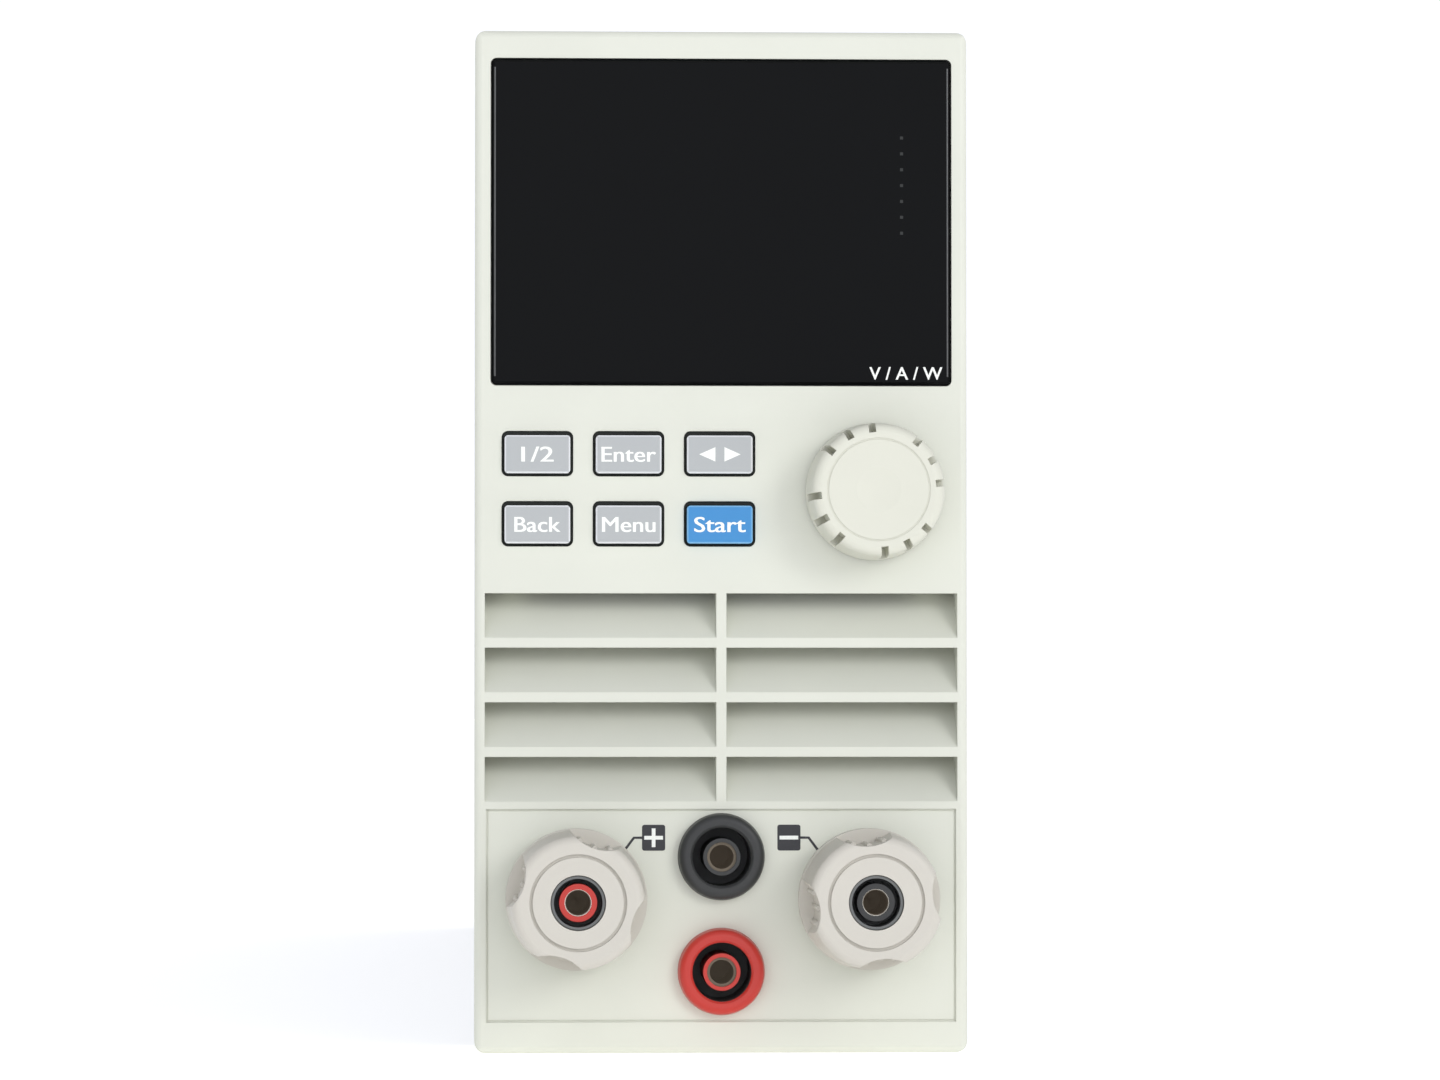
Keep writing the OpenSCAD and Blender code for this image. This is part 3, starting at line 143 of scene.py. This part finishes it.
def srgb(r, g, b):
    """A screen colour, 0 to 255, as the linear colour that shaders use."""
    def linear(c):
        c /= 255
        return c / 12.92 if c <= 0.04045 else ((c + 0.055) / 1.055) ** 2.4
    return linear(r), linear(g), linear(b)


def shade(color, factor):
    """A colour made lighter or darker."""
    return tuple(min(1.0, c * factor) for c in color)


def tinted(color, tone):
    """A colour multiplied by another."""
    return tuple(c * t for c, t in zip(color, tone))


# Colours that finishes share, and where some of their patterns begin and end

IVORY = (0.66, 0.67, 0.585)
KNOB_TONE = (0.845, 0.795, 0.805)
DIAL_TONE = (0.98, 0.965, 0.945)
NICKEL = srgb(206, 202, 192)
# Painted shade and painted light in the plug contacts' bores: a dark metal colour and a faint glow, then the
# edge of that mask and the roughness inside and outside it.
BORE_PAINTED_SHADE = srgb(110, 102, 90)
BORE_PAINTED_LIGHT = srgb(46, 41, 35)
BORE_FADE = (-0.02 * MM, 0.03 * MM)
BORE_ROUGHNESS = (0.55, 0.24)
ROUND_FADE = (-0.97, -0.7)
TRACK_SCALE = 120
SPANGLE_SCALE = 160


# Materials

def rounding(tree):
    """0 where a surface faces the front, 1 where its edge has rounded away: the mask of the painted edge
    highlight.
    """
    normal = tree.nodes.new("ShaderNodeNewGeometry").outputs["Normal"]
    parts = tree.nodes.new("ShaderNodeSeparateXYZ")
    tree.links.new(normal, parts.inputs["Vector"])
    return spread(tree, parts.outputs["Y"], 0.0, 1.0, *ROUND_FADE)


def moulded(name, color, grain=1800, depth=0.03, roughness=(0.42, 0.55), edge=0.15,
            mottle=0.02, specular=0.4, painted_edge_highlight=None):
    """Moulded plastic: an etched grain (depth and edge in mm), uneven gloss and, if asked for, a painted
    highlight, a paler colour on edges that turn away from the front.
    """
    mat, tree, bsdf = shader(name, roughness[0], specular=specular)
    point = object_point(tree)
    # Painted highlight: edges that turn away from the front take the paler colour in place of the mottle.
    if painted_edge_highlight:
        base = two_tone(tree, rounding(tree), color, painted_edge_highlight, 0.0, 1.0)
    else:
        cloud = noise(tree, point, scale=45, detail=4)
        base = two_tone(tree, cloud, shade(color, 1 - mottle), shade(color, 1 + mottle))
    tree.links.new(base, bsdf.inputs["Base Color"])
    etched = noise(tree, point, grain, detail=2, rough=0.6)
    tree.links.new(spread(tree, etched, *roughness), bsdf.inputs["Roughness"])
    relief(tree, bsdf, etched, depth * MM, strength=0.35, edge=edge * MM)
    return mat


def polished(name, color, roughness=0.1, specular=0.25):
    """Glossy smoked plastic with faint haze."""
    mat, tree, bsdf = shader(name, roughness, specular=specular)
    haze = noise(tree, object_point(tree), scale=60, detail=5, rough=0.65)
    base = two_tone(tree, haze, shade(color, 0.92), shade(color, 1.08))
    tree.links.new(base, bsdf.inputs["Base Color"])
    tree.links.new(spread(tree, haze, roughness * 0.8, roughness * 1.3), bsdf.inputs["Roughness"])
    relief(tree, bsdf, haze, depth=0.01 * MM, strength=0.05, edge=0.1 * MM)
    return mat


def plated(name, color, roughness=(0.18, 0.32), grain=(400, 400, 400), edge=0.1):
    """Plated or bare metal with fine tool marks along one direction."""
    mat, tree, bsdf = shader(name, roughness[0], metallic=1.0)
    marks = noise(tree, object_point(tree, grain), scale=1, detail=4, rough=0.6)
    cloud = noise(tree, object_point(tree), scale=70, detail=3)
    base = two_tone(tree, cloud, shade(color, 0.93), shade(color, 1.05))
    tree.links.new(base, bsdf.inputs["Base Color"])
    tree.links.new(spread(tree, marks, *roughness), bsdf.inputs["Roughness"])
    relief(tree, bsdf, marks, depth=0.02 * MM, strength=0.12, edge=edge * MM)
    return mat


def sheet_steel(name, color):
    """Zinc-plated sheet: rolling marks along the case and a faint spangle."""
    mat, tree, bsdf = shader(name, roughness=0.6, metallic=0.8)
    rolled = noise(tree, object_point(tree, stretch=(900, 6, 900)), scale=1, detail=3, rough=0.6)
    cells = tree.nodes.new("ShaderNodeTexVoronoi")
    cells.inputs["Scale"].default_value = SPANGLE_SCALE
    tree.links.new(object_point(tree), cells.inputs["Vector"])
    spangle = two_tone(tree, cells.outputs["Color"], shade(color, 0.955), shade(color, 1.03),
                       start=0.1, end=0.9)
    tree.links.new(spangle, bsdf.inputs["Base Color"])
    tree.links.new(spread(tree, rolled, low=0.55, high=0.66), bsdf.inputs["Roughness"])
    relief(tree, bsdf, rolled, depth=0.02 * MM, strength=0.06, edge=0.2 * MM)
    return mat


def contact_metal(name, color, axes, bore, thread=0.0):
    """Plated contacts around axes along y, threaded if a pitch is given; inside the bores a painted shade
    darkens the metal and a faint emission paints in light.
    """
    mat, tree, bsdf = shader(name, metallic=1.0)
    parts = tree.nodes.new("ShaderNodeSeparateXYZ")
    tree.links.new(object_point(tree), parts.inputs["Vector"])

    nearest, turn = None, None
    for x, z in axes:
        dx = calc(tree, "SUBTRACT", parts.outputs["X"], x)
        dz = calc(tree, "SUBTRACT", parts.outputs["Z"], z)
        squares = calc(tree, "ADD", calc(tree, "MULTIPLY", dx, dx), calc(tree, "MULTIPLY", dz, dz))
        reach = calc(tree, "POWER", squares, 0.5)
        nearest = reach if nearest is None else calc(tree, "MINIMUM", nearest, reach)
        turn = calc(tree, "ARCTAN2", dz, dx)
    # Painted shade: inside the bore radius the metal turns dark; painted light: a faint emission glows there
    # as well.
    inside = spread(tree, nearest, 0.0, 1.0, *(bore + step for step in BORE_FADE))
    tree.links.new(two_tone(tree, inside, BORE_PAINTED_SHADE, color, 0.0, 1.0), bsdf.inputs["Base Color"])
    glow = two_tone(tree, inside, BORE_PAINTED_LIGHT, (0, 0, 0), 0.0, 1.0)
    tree.links.new(glow, bsdf.inputs["Emission Color"])
    bsdf.inputs["Emission Strength"].default_value = 1.0
    tree.links.new(spread(tree, inside, *BORE_ROUGHNESS, 0.0, 1.0), bsdf.inputs["Roughness"])
    if thread:
        along = calc(tree, "MULTIPLY", parts.outputs["Y"], math.tau / thread)
        wave = calc(tree, "ADD", along, turn)
        relief(tree, bsdf, calc(tree, "SINE", wave, 0.0), depth=0.25 * MM, strength=0.8)
    return mat


def circuit_board(name, color):
    """Solder mask over copper tracks."""
    mat, tree, bsdf = shader(name, roughness=0.35)
    tracks = tree.nodes.new("ShaderNodeTexBrick")
    tracks.inputs["Scale"].default_value = TRACK_SCALE
    tracks.inputs["Color1"].default_value = (*color, 1)
    tracks.inputs["Color2"].default_value = (*shade(color, 1.25), 1)
    tracks.inputs["Mortar"].default_value = (*shade(color, 0.7), 1)
    tree.links.new(object_point(tree), tracks.inputs["Vector"])
    tree.links.new(tracks.outputs["Color"], bsdf.inputs["Base Color"])
    relief(tree, bsdf, tracks.outputs["Fac"], depth=0.03 * MM, strength=0.2)
    return mat


def printed(name, color, roughness=0.45):
    """Screen-printed ink with a slightly broken surface."""
    mat, tree, bsdf = shader(name, roughness, specular=0.3)
    film = noise(tree, object_point(tree), scale=3000, detail=2)
    base = two_tone(tree, film, shade(color, 0.95), shade(color, 1.03))
    tree.links.new(base, bsdf.inputs["Base Color"])
    tree.links.new(spread(tree, film, roughness, roughness + 0.12), bsdf.inputs["Roughness"])
    return mat


def floor_finish(name, color, glow, dark_y, lit_y):
    """Matt pale studio floor that glows like a light table, fading from lit_y to dark_y."""
    mat, tree, bsdf = shader(name, roughness=0.9, specular=0.1)
    cloud = noise(tree, object_point(tree), scale=2, detail=2)
    tree.links.new(two_tone(tree, cloud, shade(color, 0.99), color), bsdf.inputs["Base Color"])
    bsdf.inputs["Emission Color"].default_value = (1, 1, 1, 1)
    parts = tree.nodes.new("ShaderNodeSeparateXYZ")
    tree.links.new(object_point(tree), parts.inputs["Vector"])
    lit = spread(tree, parts.outputs["Y"], 0.0, glow, dark_y, lit_y)
    tree.links.new(lit, bsdf.inputs["Emission Strength"])
    return mat


FINISHES = {
    "ivory_plastic": moulded("ivory_plastic", IVORY),
    "smoked_window": polished("smoked_window", srgb(9, 10, 11), roughness=0.12, specular=0.058),
    # The keys' rounded edges carry a painted highlight in a paler colour.
    "key_grey": moulded("key_grey", srgb(172, 175, 175), grain=2400, depth=0.02,
                        roughness=(0.36, 0.46), painted_edge_highlight=srgb(232, 234, 236)),
    "key_blue": moulded("key_blue", srgb(57, 134, 193), grain=2400, depth=0.02,
                        roughness=(0.34, 0.44), painted_edge_highlight=srgb(128, 186, 228)),
    "black_plastic": moulded("black_plastic", srgb(48, 49, 49), grain=2200, depth=0.02,
                             roughness=(0.4, 0.52), mottle=0.06),
    "black_rubber": moulded("black_rubber", srgb(40, 40, 40), grain=2600, depth=0.05,
                            roughness=(0.7, 0.85), mottle=0.08),
    "red_plastic": moulded("red_plastic", srgb(188, 51, 42), grain=2200, depth=0.015,
                           roughness=(0.3, 0.4)),
    "plated_brass": plated("plated_brass", srgb(214, 208, 194)),
    "zinc_steel": sheet_steel("zinc_steel", srgb(172, 176, 179)),
    "bright_steel": plated("bright_steel", srgb(205, 206, 206)),
    "dark_steel": moulded("dark_steel", srgb(34, 35, 37), grain=1500, depth=0.02,
                          roughness=(0.35, 0.5), mottle=0.08),
    "bare_aluminium": plated("bare_aluminium", srgb(206, 208, 210), roughness=(0.3, 0.45),
                             grain=(900, 8, 900)),
    "copper_bar": plated("copper_bar", srgb(205, 128, 86), roughness=(0.25, 0.4),
                         grain=(700, 20, 700)),
    "circuit_board": circuit_board("circuit_board", srgb(24, 84, 54)),
    "capacitor_sleeve": polished("capacitor_sleeve", srgb(34, 44, 74), roughness=0.25, specular=0.4),
    "grey_cable": moulded("grey_cable", srgb(150, 152, 155), grain=1500, roughness=(0.5, 0.6)),
}
WHITE_INK = printed("white_ink", srgb(240, 242, 236))
DARK_INK = printed("dark_ink", srgb(56, 56, 59))
FAINT_INK = printed("faint_ink", srgb(36, 38, 37), roughness=0.3)
GOLD = plated("gold_contact", srgb(224, 178, 92), roughness=(0.2, 0.3))
# Gloss for the window's shoulder beads: the shine is real, and their grey, paler than the window, is partly a
# painted highlight.
SHOULDER_GLOSS_AND_PAINTED_HIGHLIGHT = polished("window_shoulders", srgb(46, 48, 48), roughness=0.3, specular=1.0)


def dress(obj, finish):
    """Gives an object one material."""
    obj.data.materials.clear()
    obj.data.materials.append(finish)


for part in frame["record"]["subparts"]:
    dress(frame["nodes"][part["node"]], FINISHES[part["material_slot"]])

knob_ivory = moulded("knob_ivory", tinted(IVORY, KNOB_TONE))
dial_ivory = moulded("dial_ivory", tinted(IVORY, DIAL_TONE))
rim_black = moulded("rim_black", srgb(34, 37, 34), grain=2200, depth=0.02,
                    roughness=(0.5, 0.6), mottle=0.06, specular=0.2)
# A dark grey for the liners inside the posts and sockets: partly their black lining and partly painted shade,
# setting how dark the cavities look.
cavity_lining_and_painted_shade = moulded("cavity_lining_and_painted_shade", srgb(104, 106, 105), grain=2200, depth=0.02,
                       roughness=(0.4, 0.52), mottle=0.06)
OWN_FINISHES = {
    "post_knob_positive": knob_ivory,
    "post_knob_negative": knob_ivory,
    "dial_knob": dial_ivory,
    "dial_cap": dial_ivory,
    "key_frame": rim_black,
    "jack_barrels": cavity_lining_and_painted_shade,
    "post_liners": cavity_lining_and_painted_shade,
}
for node, finish in OWN_FINISHES.items():
    dress(frame["nodes"][node], finish)


# Places of nodes

def front_of(node):
    """Centre x, front y and centre z of a node."""
    low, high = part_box(node)
    return (low.x + high.x) / 2, low.y, (low.z + high.z) / 2


def axis_of(node):
    """Centre x and z of a node that is round about an axis along y."""
    x, _, z = front_of(node)
    return x, z


# Plug contacts, with painted shade and a faint painted glow inside their bores

POST_PAINTED_SHADE_R = 2.1 * MM
JACK_PAINTED_SHADE_R = 2.5 * MM
THREAD_PITCH = 1.5 * MM

for side in ("positive", "negative"):
    stud = "post_stud_" + side
    metal = contact_metal(stud, NICKEL, [axis_of(stud)], POST_PAINTED_SHADE_R, THREAD_PITCH)
    dress(frame["nodes"][stud], metal)
jack_axes = [axis_of("jack_ring_black"), axis_of("jack_ring_red")]
dress(frame["nodes"]["jack_contacts"], contact_metal("jack_contacts", NICKEL, jack_axes, JACK_PAINTED_SHADE_R))


# Mesh building blocks

def add(name, mesh, body, finish):
    """Links a finished mesh as a piece that rides on a body."""
    obj = bpy.data.objects.new(name, mesh)
    scene.collection.objects.link(obj)
    dress(obj, finish)
    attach(obj, body)


def to_mesh(name, bm):
    """Turns a bmesh into a mesh with outward faces."""
    bmesh.ops.recalc_face_normals(bm, faces=bm.faces)
    mesh = bpy.data.meshes.new(name)
    bm.to_mesh(mesh)
    bm.free()
    return mesh


def bridge(bm, first, second):
    """Faces between two closed loops of as many points."""
    count = len(first)
    for i in range(count):
        j = (i + 1) % count
        bm.faces.new((first[i], second[i], second[j], first[j]))


def prism(bm, first, second):
    """A solid between two closed loops of as many points."""
    bm.faces.new(first)
    bm.faces.new(list(reversed(second)))
    bridge(bm, first, second)


def plate(bm, outline, back_y, thickness):
    """A thin plate facing the front, from an outline of x and z."""
    front = [bm.verts.new((x, back_y - thickness, z)) for x, z in outline]
    back = [bm.verts.new((x, back_y, z)) for x, z in outline]
    prism(bm, front, back)


def rectangle(x, z, w, h, radius=0.0, steps=5):
    """Outline of a rectangle with round corners, centred on x and z."""
    if not radius:
        return [(x - w / 2, z - h / 2), (x + w / 2, z - h / 2),
                (x + w / 2, z + h / 2), (x - w / 2, z + h / 2)]
    points = []
    for corner, (sx, sz) in enumerate(((1, 1), (-1, 1), (-1, -1), (1, -1))):
        for i in range(steps + 1):
            angle = math.pi / 2 * (corner + i / steps)
            points.append((x + sx * (w / 2 - radius) + radius * math.cos(angle),
                           z + sz * (h / 2 - radius) + radius * math.sin(angle)))
    return points


def stroke(points, width):
    """Outline of a bent line of even width."""
    left, right = [], []
    for i, point in enumerate(points):
        before = Vector(points[max(i - 1, 0)])
        after = Vector(points[min(i + 1, len(points) - 1)])
        along = (after - before).normalized()
        across = Vector((-along.y, along.x)) * width / 2
        left.append(tuple(Vector(point) + across))
        right.append(tuple(Vector(point) - across))
    return left + right[::-1]


# Print: how far it stands out, how deep it is set in, and a font's capital height as a share of its size

INK = 0.03 * MM
BITE = 0.05 * MM
CAP_SHARE = 0.69
STRIKE_STEP = 0.004 * MM


def word_mesh(name, text, height, bold, width=None):
    """A word as a thin mesh, centred, facing the front, struck three times to make it bold."""
    curve = bpy.data.curves.new(name, "FONT")
    curve.body = text
    curve.align_x = "CENTER"
    curve.size = height / CAP_SHARE
    curve.extrude = (INK + BITE) / 2
    curve.resolution_u = 4
    obj = bpy.data.objects.new(name, curve)
    scene.collection.objects.link(obj)
    bpy.context.view_layer.update()
    depsgraph = bpy.context.evaluated_depsgraph_get()
    mesh = bpy.data.meshes.new_from_object(obj.evaluated_get(depsgraph))
    bpy.data.objects.remove(obj)
    mesh.transform(Matrix.Rotation(math.pi / 2, 4, "X"))
    reach = [v.co.x for v in mesh.vertices]
    stretch = (width - 2 * bold) / (max(reach) - min(reach)) if width else 1.0
    centred = Matrix.Translation((-(max(reach) + min(reach)) / 2, 0, 0))
    mesh.transform(Matrix.Diagonal((stretch, 1, 1, 1)) @ centred)
    bm = bmesh.new()
    for strike in (-1, 0, 1):
        mesh.transform(Matrix.Translation((strike * bold, strike * STRIKE_STEP, 0)))
        bm.from_mesh(mesh)
        mesh.transform(Matrix.Translation((-strike * bold, -strike * STRIKE_STEP, 0)))
    bm.to_mesh(mesh)
    bm.free()
    return mesh


# Key legends: generic words, each with its width

KEY_WORDS = {
    "key_select": ("1/2", 5.4 * MM),
    "key_short": ("Enter", 9.1 * MM),
    "key_transient": ("Back", 7.7 * MM),
    "key_mode": ("Menu", 8.9 * MM),
    "key_on_off": ("Start", 8.6 * MM),
}
KEY_CAP_HEIGHT = 2.5 * MM
KEY_BOLD = 0.07 * MM
ARROW_W = 2.7 * MM
ARROW_H = 2.4 * MM
ARROW_GAP = 1.5 * MM


def key_legends():
    """Words on five keys."""
    for node, (text, width) in KEY_WORDS.items():
        x, y, z = front_of(node)
        mesh = word_mesh(node + "_legend", text, KEY_CAP_HEIGHT, KEY_BOLD, width)
        mesh.transform(Matrix.Translation((x, y + (BITE - INK) / 2, z - KEY_CAP_HEIGHT / 2)))
        add(node + "_legend", mesh, node, WHITE_INK)


def arrow_legend():
    """Two arrows on the sixth key."""
    x, y, z = front_of("key_arrows")
    bm = bmesh.new()
    for side in (-1, 1):
        base = x + side * ARROW_GAP / 2
        tip = base + side * ARROW_W
        outline = [(base, z - ARROW_H / 2), (base, z + ARROW_H / 2), (tip, z)]
        plate(bm, outline, y + BITE, INK + BITE)
    add("key_arrows_legend", to_mesh("key_arrows_legend", bm), "key_arrows", WHITE_INK)


# Polarity marks on the terminal plate

MARK_X = 11.25 * MM
MARK_Z = 35.7 * MM
MARK_W = 3.85 * MM
MARK_H = 4.3 * MM
MARK_ROUND = 0.4 * MM
SIGN_LENGTH = 3.1 * MM
SIGN_STROKE = 0.62 * MM
CROSS_INK = 1.1 * INK
LEADER_STROKE = 0.42 * MM
LEADER_RUN = 1.35 * MM
LEADER_DROP = (1.5 * MM, 2.0 * MM)


def polarity_marks():
    """Dark labels with plus and minus signs, and a line to each terminal."""
    plate_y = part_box("terminal_plate")[0].y
    dark = bmesh.new()
    light = bmesh.new()
    for side in (-1, 1):
        x = side * MARK_X
        plate(dark, rectangle(x, MARK_Z, MARK_W, MARK_H, MARK_ROUND), plate_y + BITE, INK + BITE)
        outer = x + side * (MARK_W / 2 - BITE)
        bend = x + side * (MARK_W / 2 + LEADER_RUN)
        foot = (bend + side * LEADER_DROP[0], MARK_Z - LEADER_DROP[1])
        line = [(outer, MARK_Z), (bend, MARK_Z), foot]
        plate(dark, stroke(line, LEADER_STROKE), plate_y + BITE, INK + BITE)
        plate(light, rectangle(x, MARK_Z, SIGN_LENGTH, SIGN_STROKE), plate_y - INK / 2, INK)
    plate(light, rectangle(-MARK_X, MARK_Z, SIGN_STROKE, SIGN_LENGTH), plate_y - INK / 2, CROSS_INK)
    add("polarity_marks", to_mesh("polarity_marks", dark), "chassis", DARK_INK)
    add("polarity_signs", to_mesh("polarity_signs", light), "chassis", WHITE_INK)


# Window print

UNITS = "V / A / W"
UNITS_CAP_HEIGHT = 2.1 * MM
UNITS_INSET = 1.4 * MM
UNITS_RISE = 0.95 * MM
TICK_COUNT = 7
TICK_SIZE = 0.5 * MM
TICK_STEP = 2.65 * MM
TICK_INSET = 8.2 * MM
TICK_DROP = 13 * MM
TICK_INK = INK / 4


def window_print():
    """Unit letters in the window's lower corner and a column of faint dots."""
    low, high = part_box("display_window")
    mesh = word_mesh("window_units", UNITS, UNITS_CAP_HEIGHT, KEY_BOLD / 2)
    right = max(v.co.x for v in mesh.vertices)
    mesh.transform(Matrix.Translation((high.x - UNITS_INSET - right, low.y + (BITE - INK) / 2,
                                       low.z + UNITS_RISE)))
    add("window_units", mesh, "chassis", WHITE_INK)
    bm = bmesh.new()
    for i in range(TICK_COUNT):
        z = high.z - TICK_DROP - i * TICK_STEP
        plate(bm, rectangle(high.x - TICK_INSET, z, TICK_SIZE, TICK_SIZE), low.y + BITE, TICK_INK + BITE)
    mesh = to_mesh("window_annunciators", bm)
    add("window_annunciators", mesh, "chassis", FAINT_INK)


# Rounded shoulders inside the window's side edges

SHOULDER_IN = 0.57 * MM
SHOULDER_R = 0.16 * MM
SHOULDER_END = 1.4 * MM
SHOULDER_STEPS = 8


def window_shoulders():
    """A half-round bead along each side of the window, which catches a line of light; its grey, paler than
    the window, paints part of that highlight.
    """
    low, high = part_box("display_window")
    turns = [math.pi * i / SHOULDER_STEPS for i in range(SHOULDER_STEPS + 1)]
    bm = bmesh.new()
    for x in (low.x + SHOULDER_IN, high.x - SHOULDER_IN):
        section = [(x + SHOULDER_R * math.cos(a), low.y + BITE - SHOULDER_R * math.sin(a)) for a in turns]
        lower, upper = ([bm.verts.new((*point, z)) for point in section]
                        for z in (low.z + SHOULDER_END, high.z - SHOULDER_END))
        prism(bm, lower, upper)
    mesh = to_mesh("window_shoulders", bm)
    add("window_shoulders", mesh, "chassis", SHOULDER_GLOSS_AND_PAINTED_HIGHLIGHT)


# Soft fills that leave only a shallow line at the plate's seam and around the dial's cap

FILL_DEPTH = 0.1 * MM
FILL_T = 0.1 * MM
SEAM_W = 0.4 * MM
RING_R = 8.38 * MM
RING_W = 0.32 * MM
RING_STEPS = 96


def plate_seam():
    """Strips in the gap around the terminal plate."""
    low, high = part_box("terminal_plate")
    middle_x, middle_z = (low.x + high.x) / 2, (low.z + high.z) / 2
    width, height = high.x - low.x, high.z - low.z
    back = low.y + FILL_DEPTH + FILL_T
    bm = bmesh.new()
    for x in (low.x, high.x):
        plate(bm, rectangle(x, middle_z, SEAM_W, height + SEAM_W), back, FILL_T)
    for z in (low.z, high.z):
        plate(bm, rectangle(middle_x, z, width - SEAM_W, SEAM_W), back, FILL_T)
    add("plate_seam", to_mesh("plate_seam", bm), "chassis", FINISHES["ivory_plastic"])


def dial_ring():
    """A flat ring in the groove around the dial's cap."""
    x, z = axis_of("dial_cap")
    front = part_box("dial_cap")[0].y + FILL_DEPTH
    outer, inner = RING_R + RING_W / 2, RING_R - RING_W / 2
    angles = [math.tau * i / RING_STEPS for i in range(RING_STEPS)]
    bm = bmesh.new()
    loops = []
    for radius, y in ((outer, front), (outer, front + FILL_T), (inner, front + FILL_T), (inner, front)):
        loops.append([bm.verts.new((x + radius * math.cos(a), y, z + radius * math.sin(a))) for a in angles])
    for first, second in zip(loops, loops[1:] + loops[:1]):
        bridge(bm, first, second)
    add("dial_ring", to_mesh("dial_ring", bm), "dial", dial_ivory)


# Contact pads on the rear connector's tongue

TONGUE_SIDE = 4 * MM
TONGUE_H = 5 * MM
PAD_W = 1.1 * MM
PAD_L = 6 * MM
PAD_PITCH = 2 * MM
PAD_INSET = 1.2 * MM


def connector_pads():
    """Gold pads on both faces of the tongue."""
    low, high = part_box("backplane_connector")
    middle = (low.z + high.z) / 2
    count = int((high.x - low.x - 2 * TONGUE_SIDE) / PAD_PITCH)
    bm = bmesh.new()
    for i in range(count):
        x = (low.x + high.x) / 2 + (i - (count - 1) / 2) * PAD_PITCH
        for side in (-1, 1):
            spot = Vector((x, high.y - PAD_INSET - PAD_L / 2, middle + side * TONGUE_H / 2))
            size = Matrix.Diagonal((PAD_W, PAD_L, 2 * INK, 1))
            bmesh.ops.create_cube(bm, size=1, matrix=Matrix.Translation(spot) @ size)
    add("connector_pads", to_mesh("connector_pads", bm), "chassis", GOLD)


key_legends()
arrow_legend()
polarity_marks()
window_print()
window_shoulders()
plate_seam()
dial_ring()
connector_pads()


# Stage, light and camera

FRAME_WIDTH = 0.2392
CAMERA_DISTANCE = 1.0
CAMERA_OFFSET = Vector((-0.0423, 0, -0.025))
CAMERA_AIM = Vector((-0.00023, 0, 0.00017))
SENSOR = 36
SKY_COLOR = (0.985, 1.0, 1.06)
SKY_GLOW = 0.65
FRONT_GLOW = 2.0
FRONT_SPAN = (-1.0, -0.7)
BACK_GLOW = 1.05
BACK_SPAN = (0.5, 0.9)
FLOOR_HALF = 12
FLOOR_CELLS = 8
FLOOR_COLOR = srgb(250, 250, 250)
FLOOR_GLOW = 0.42
GLOW_FADE = (0.08, 2.0)
LAMP_OFFSET = Vector((1.05, -1.6, 0.6))
LAMP_SIZE = 0.7
LAMP_POWER = 9.5


def aim(obj, target):
    """Turns a light or camera towards a point."""
    obj.rotation_euler = (Vector(target) - obj.location).to_track_quat("-Z", "Y").to_euler()


def camera(middle):
    """A camera in front of the panel, a little below and to the left of its middle."""
    data = bpy.data.cameras.new("camera")
    data.sensor_width = SENSOR
    data.lens = SENSOR * CAMERA_DISTANCE / FRAME_WIDTH
    obj = bpy.data.objects.new("camera", data)
    scene.collection.objects.link(obj)
    obj.location = middle + CAMERA_OFFSET - Vector((0, CAMERA_DISTANCE, 0))
    aim(obj, middle + CAMERA_AIM)
    scene.camera = obj


def softbox(name, location, target, size, power):
    """A large square lamp."""
    data = bpy.data.lights.new(name, "AREA")
    data.shape = "SQUARE"
    data.size = size
    data.energy = power
    obj = bpy.data.objects.new(name, data)
    scene.collection.objects.link(obj)
    obj.location = location
    aim(obj, target)


def sky(tree):
    """A glow all round, brightest in front of the object, and white behind it."""
    coords = tree.nodes.new("ShaderNodeTexCoord")
    parts = tree.nodes.new("ShaderNodeSeparateXYZ")
    tree.links.new(coords.outputs["Generated"], parts.inputs["Vector"])
    back = tree.nodes["Background"]
    back.inputs["Color"].default_value = (*SKY_COLOR, 1)
    front_part = spread(tree, parts.outputs["Y"], FRONT_GLOW - SKY_GLOW, 0.0, *FRONT_SPAN)
    rest = spread(tree, parts.outputs["Y"], SKY_GLOW, BACK_GLOW, *BACK_SPAN)
    tree.links.new(calc(tree, "ADD", front_part, rest), back.inputs["Strength"])


def studio():
    """The floor, the sky, the camera and one lamp."""
    bm = bmesh.new()
    bmesh.ops.create_grid(bm, x_segments=FLOOR_CELLS, y_segments=FLOOR_CELLS, size=FLOOR_HALF)
    mesh = bpy.data.meshes.new("floor")
    bm.to_mesh(mesh)
    bm.free()
    floor = bpy.data.objects.new("floor", mesh)
    scene.collection.objects.link(floor)
    lit_y, dark_y = (cad_low.y - reach for reach in GLOW_FADE)
    dress(floor, floor_finish("floor", FLOOR_COLOR, FLOOR_GLOW, dark_y, lit_y))
    world = bpy.data.worlds.new("studio")
    world.use_nodes = True
    sky(world.node_tree)
    scene.world = world
    middle = Vector(front_of("front_bezel"))
    camera(middle)
    softbox("right_box", middle + LAMP_OFFSET, middle, LAMP_SIZE, LAMP_POWER)


studio()
